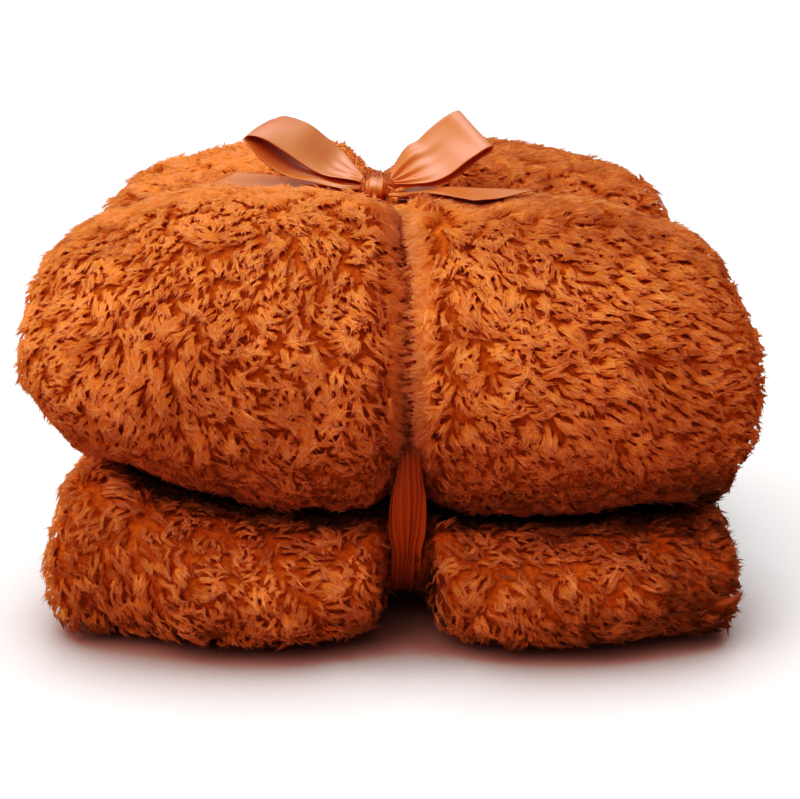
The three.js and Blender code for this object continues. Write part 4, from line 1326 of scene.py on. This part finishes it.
# ---------------------------------------------------------------- what stands for what
for ob in fleece_parts + [blanket]:
    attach(ob, "root")
for ob in ribbons:
    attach(ob, "root")
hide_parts("blanket")
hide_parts("ribbon_band_lengthwise")
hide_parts("ribbon_band_crosswise")
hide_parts("bow_knot")
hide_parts("bow_loop_left")
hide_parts("bow_loop_right")
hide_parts("ribbon_tail_left")
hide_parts("ribbon_tail_right")
print("ribbon sizes", size_ll, size_lr, size_tl, size_tr, size_bl, size_bc)
for ob, size, rest in (
    (loop_l, size_ll, "bow_knot_satin"), (loop_r, size_lr, "bow_knot_satin"), (tail_l, size_tl, "blanket_ground"),
    (tail_r, size_tr, "blanket_ground"), (band_l, size_bl, "blanket_ground"), (band_c, size_bc, "blanket_ground"),
):
    "stretched" if "wise" in ob.name else "laid"

# ---------------------------------------------------------------- floor, light, camera
bpy.ops.mesh.primitive_plane_add(size=14, location=(0, 3, 0))
floor = bpy.context.object
floor.name = "floor"
fm = bpy.data.materials.new("floor_white")
nt, bs = nodes_of(fm)
lp = nt.nodes.new("ShaderNodeLightPath")
tone_mix = nt.nodes.new("ShaderNodeMix")
tone_mix.data_type = "RGBA"
tone_mix.inputs["A"].default_value = (0.24, 0.22, 0.21, 1)  # what the floor throws back at the object
# painted shadow: the floor as the camera sees it turns dark and reddish near the object, by how much the object closes
# round it
ao = nt.nodes.new("ShaderNodeAmbientOcclusion")
ao.inputs["Distance"].default_value = 0.075
ao.samples = 8
painted_floor_shadow = nt.nodes.new("ShaderNodeValToRGB")
painted_floor_shadow.color_ramp.elements[0].position = 0.42
painted_floor_shadow.color_ramp.elements[0].color = (0.30, 0.13, 0.105, 1)
painted_floor_shadow.color_ramp.elements[1].position = 1.0
painted_floor_shadow.color_ramp.elements[1].color = (0.93, 0.90, 0.895, 1)
mid_ = painted_floor_shadow.color_ramp.elements.new(0.8)
mid_.color = (0.80, 0.73, 0.72, 1)
nt.links.new(ao.outputs["AO"], painted_floor_shadow.inputs["Fac"])
nt.links.new(painted_floor_shadow.outputs["Color"], tone_mix.inputs["B"])
nt.links.new(lp.outputs["Is Camera Ray"], tone_mix.inputs["Factor"])
nt.links.new(tone_mix.outputs["Result"], bs.inputs["Base Color"])
bs.inputs["Roughness"].default_value = 0.9
bs.inputs["Specular IOR Level"].default_value = 0.0
floor.data.materials.append(fm)

world = bpy.data.worlds.new("studio")
bpy.context.scene.world = world
world.use_nodes = True
wt = world.node_tree
bg = wt.nodes.get("Background") or wt.nodes.new("ShaderNodeBackground")
bg.inputs["Color"].default_value = (1, 1, 1, 1)
# a soft dome, brightest overhead
wc = wt.nodes.new("ShaderNodeTexCoord")
sx = wt.nodes.new("ShaderNodeSeparateXYZ")
wt.links.new(wc.outputs["Generated"], sx.inputs[0])
up = wt.nodes.new("ShaderNodeMath")
up.operation = "MAXIMUM"
up.inputs[1].default_value = 0.0
wt.links.new(sx.outputs["Z"], up.inputs[0])
pw = wt.nodes.new("ShaderNodeMath")
pw.operation = "POWER"
pw.inputs[1].default_value = 1.5
wt.links.new(up.outputs[0], pw.inputs[0])
ma = wt.nodes.new("ShaderNodeMath")
ma.operation = "MULTIPLY_ADD"
ma.inputs[1].default_value = 0.75
ma.inputs[2].default_value = 0.18
wt.links.new(pw.outputs[0], ma.inputs[0])
high = wt.nodes.new("ShaderNodeMath")
high.operation = "POWER"
high.inputs[1].default_value = 8.0
wt.links.new(up.outputs[0], high.inputs[0])
mb = wt.nodes.new("ShaderNodeMath")
mb.operation = "MULTIPLY_ADD"
mb.inputs[1].default_value = 1.7
wt.links.new(high.outputs[0], mb.inputs[0])
# the satin mirrors a smaller and brighter sheet of light overhead
ray = wt.nodes.new("ShaderNodeLightPath")
mg = wt.nodes.new("ShaderNodeMath")
mg.operation = "MULTIPLY"
wt.links.new(ray.outputs["Is Glossy Ray"], mg.inputs[0])
wt.links.new(high.outputs[0], mg.inputs[1])
mh_ = wt.nodes.new("ShaderNodeMath")
mh_.operation = "MULTIPLY_ADD"
mh_.inputs[1].default_value = 2.4
wt.links.new(mg.outputs[0], mh_.inputs[0])
wt.links.new(mb.outputs[0], mh_.inputs[2])
wt.links.new(ma.outputs[0], mb.inputs[2])
# the backdrop beyond the floor's edge is white, and gives no more light than the dome
mc = wt.nodes.new("ShaderNodeMath")
mc.operation = "MULTIPLY_ADD"
mc.inputs[1].default_value = 1.5
wt.links.new(ray.outputs["Is Camera Ray"], mc.inputs[0])
wt.links.new(mh_.outputs[0], mc.inputs[2])
wt.links.new(mc.outputs[0], bg.inputs["Strength"])


sun = bpy.data.lights.new("key_upper_left", "SUN")
sun.energy = 2.05
sun.angle = math.radians(60)
sun.color = (1.0, 0.97, 0.94)
sun_ob = bpy.data.objects.new("key_upper_left", sun)
sun_ob.location = (-1.0, -0.6, 1.4)
sun_ob.rotation_euler = Vector((0.80, 0.45, -1.0)).to_track_quat("-Z", "Y").to_euler()
sun_ob.visible_glossy = False  # the satin shows the wide light overhead and not this one
bpy.context.scene.collection.objects.link(sun_ob)

cam = bpy.data.cameras.new("camera")
cam.sensor_width = 36
cam.lens = 1400 / 800 * 36
cam.clip_start = 0.05
camera = bpy.data.objects.new("camera", cam)
camera.location = ((3 + SHIFT[0]) * MM, (-930 + SHIFT[1]) * MM, 0.430)
camera.rotation_euler = (math.radians(90 - 18.6), 0, 0)
bpy.context.scene.collection.objects.link(camera)
bpy.context.scene.camera = camera
bpy.context.scene.view_settings.view_transform = "Standard"
bpy.context.scene.view_settings.look = "None"
# a print's contrast: the darks close up and keep their colour, the lights turn pale
curves = bpy.context.scene.view_settings
curves.use_curve_mapping = True
for x in (0.01, 0.03, 0.06, 0.10, 0.17, 0.30, 0.50, 0.75):
    curves.curve_mapping.curves[3].points.new(x, x**0.82 if x > 0.17 else 0.17**0.82 * (x / 0.17) ** 1.35)
curves.curve_mapping.update()
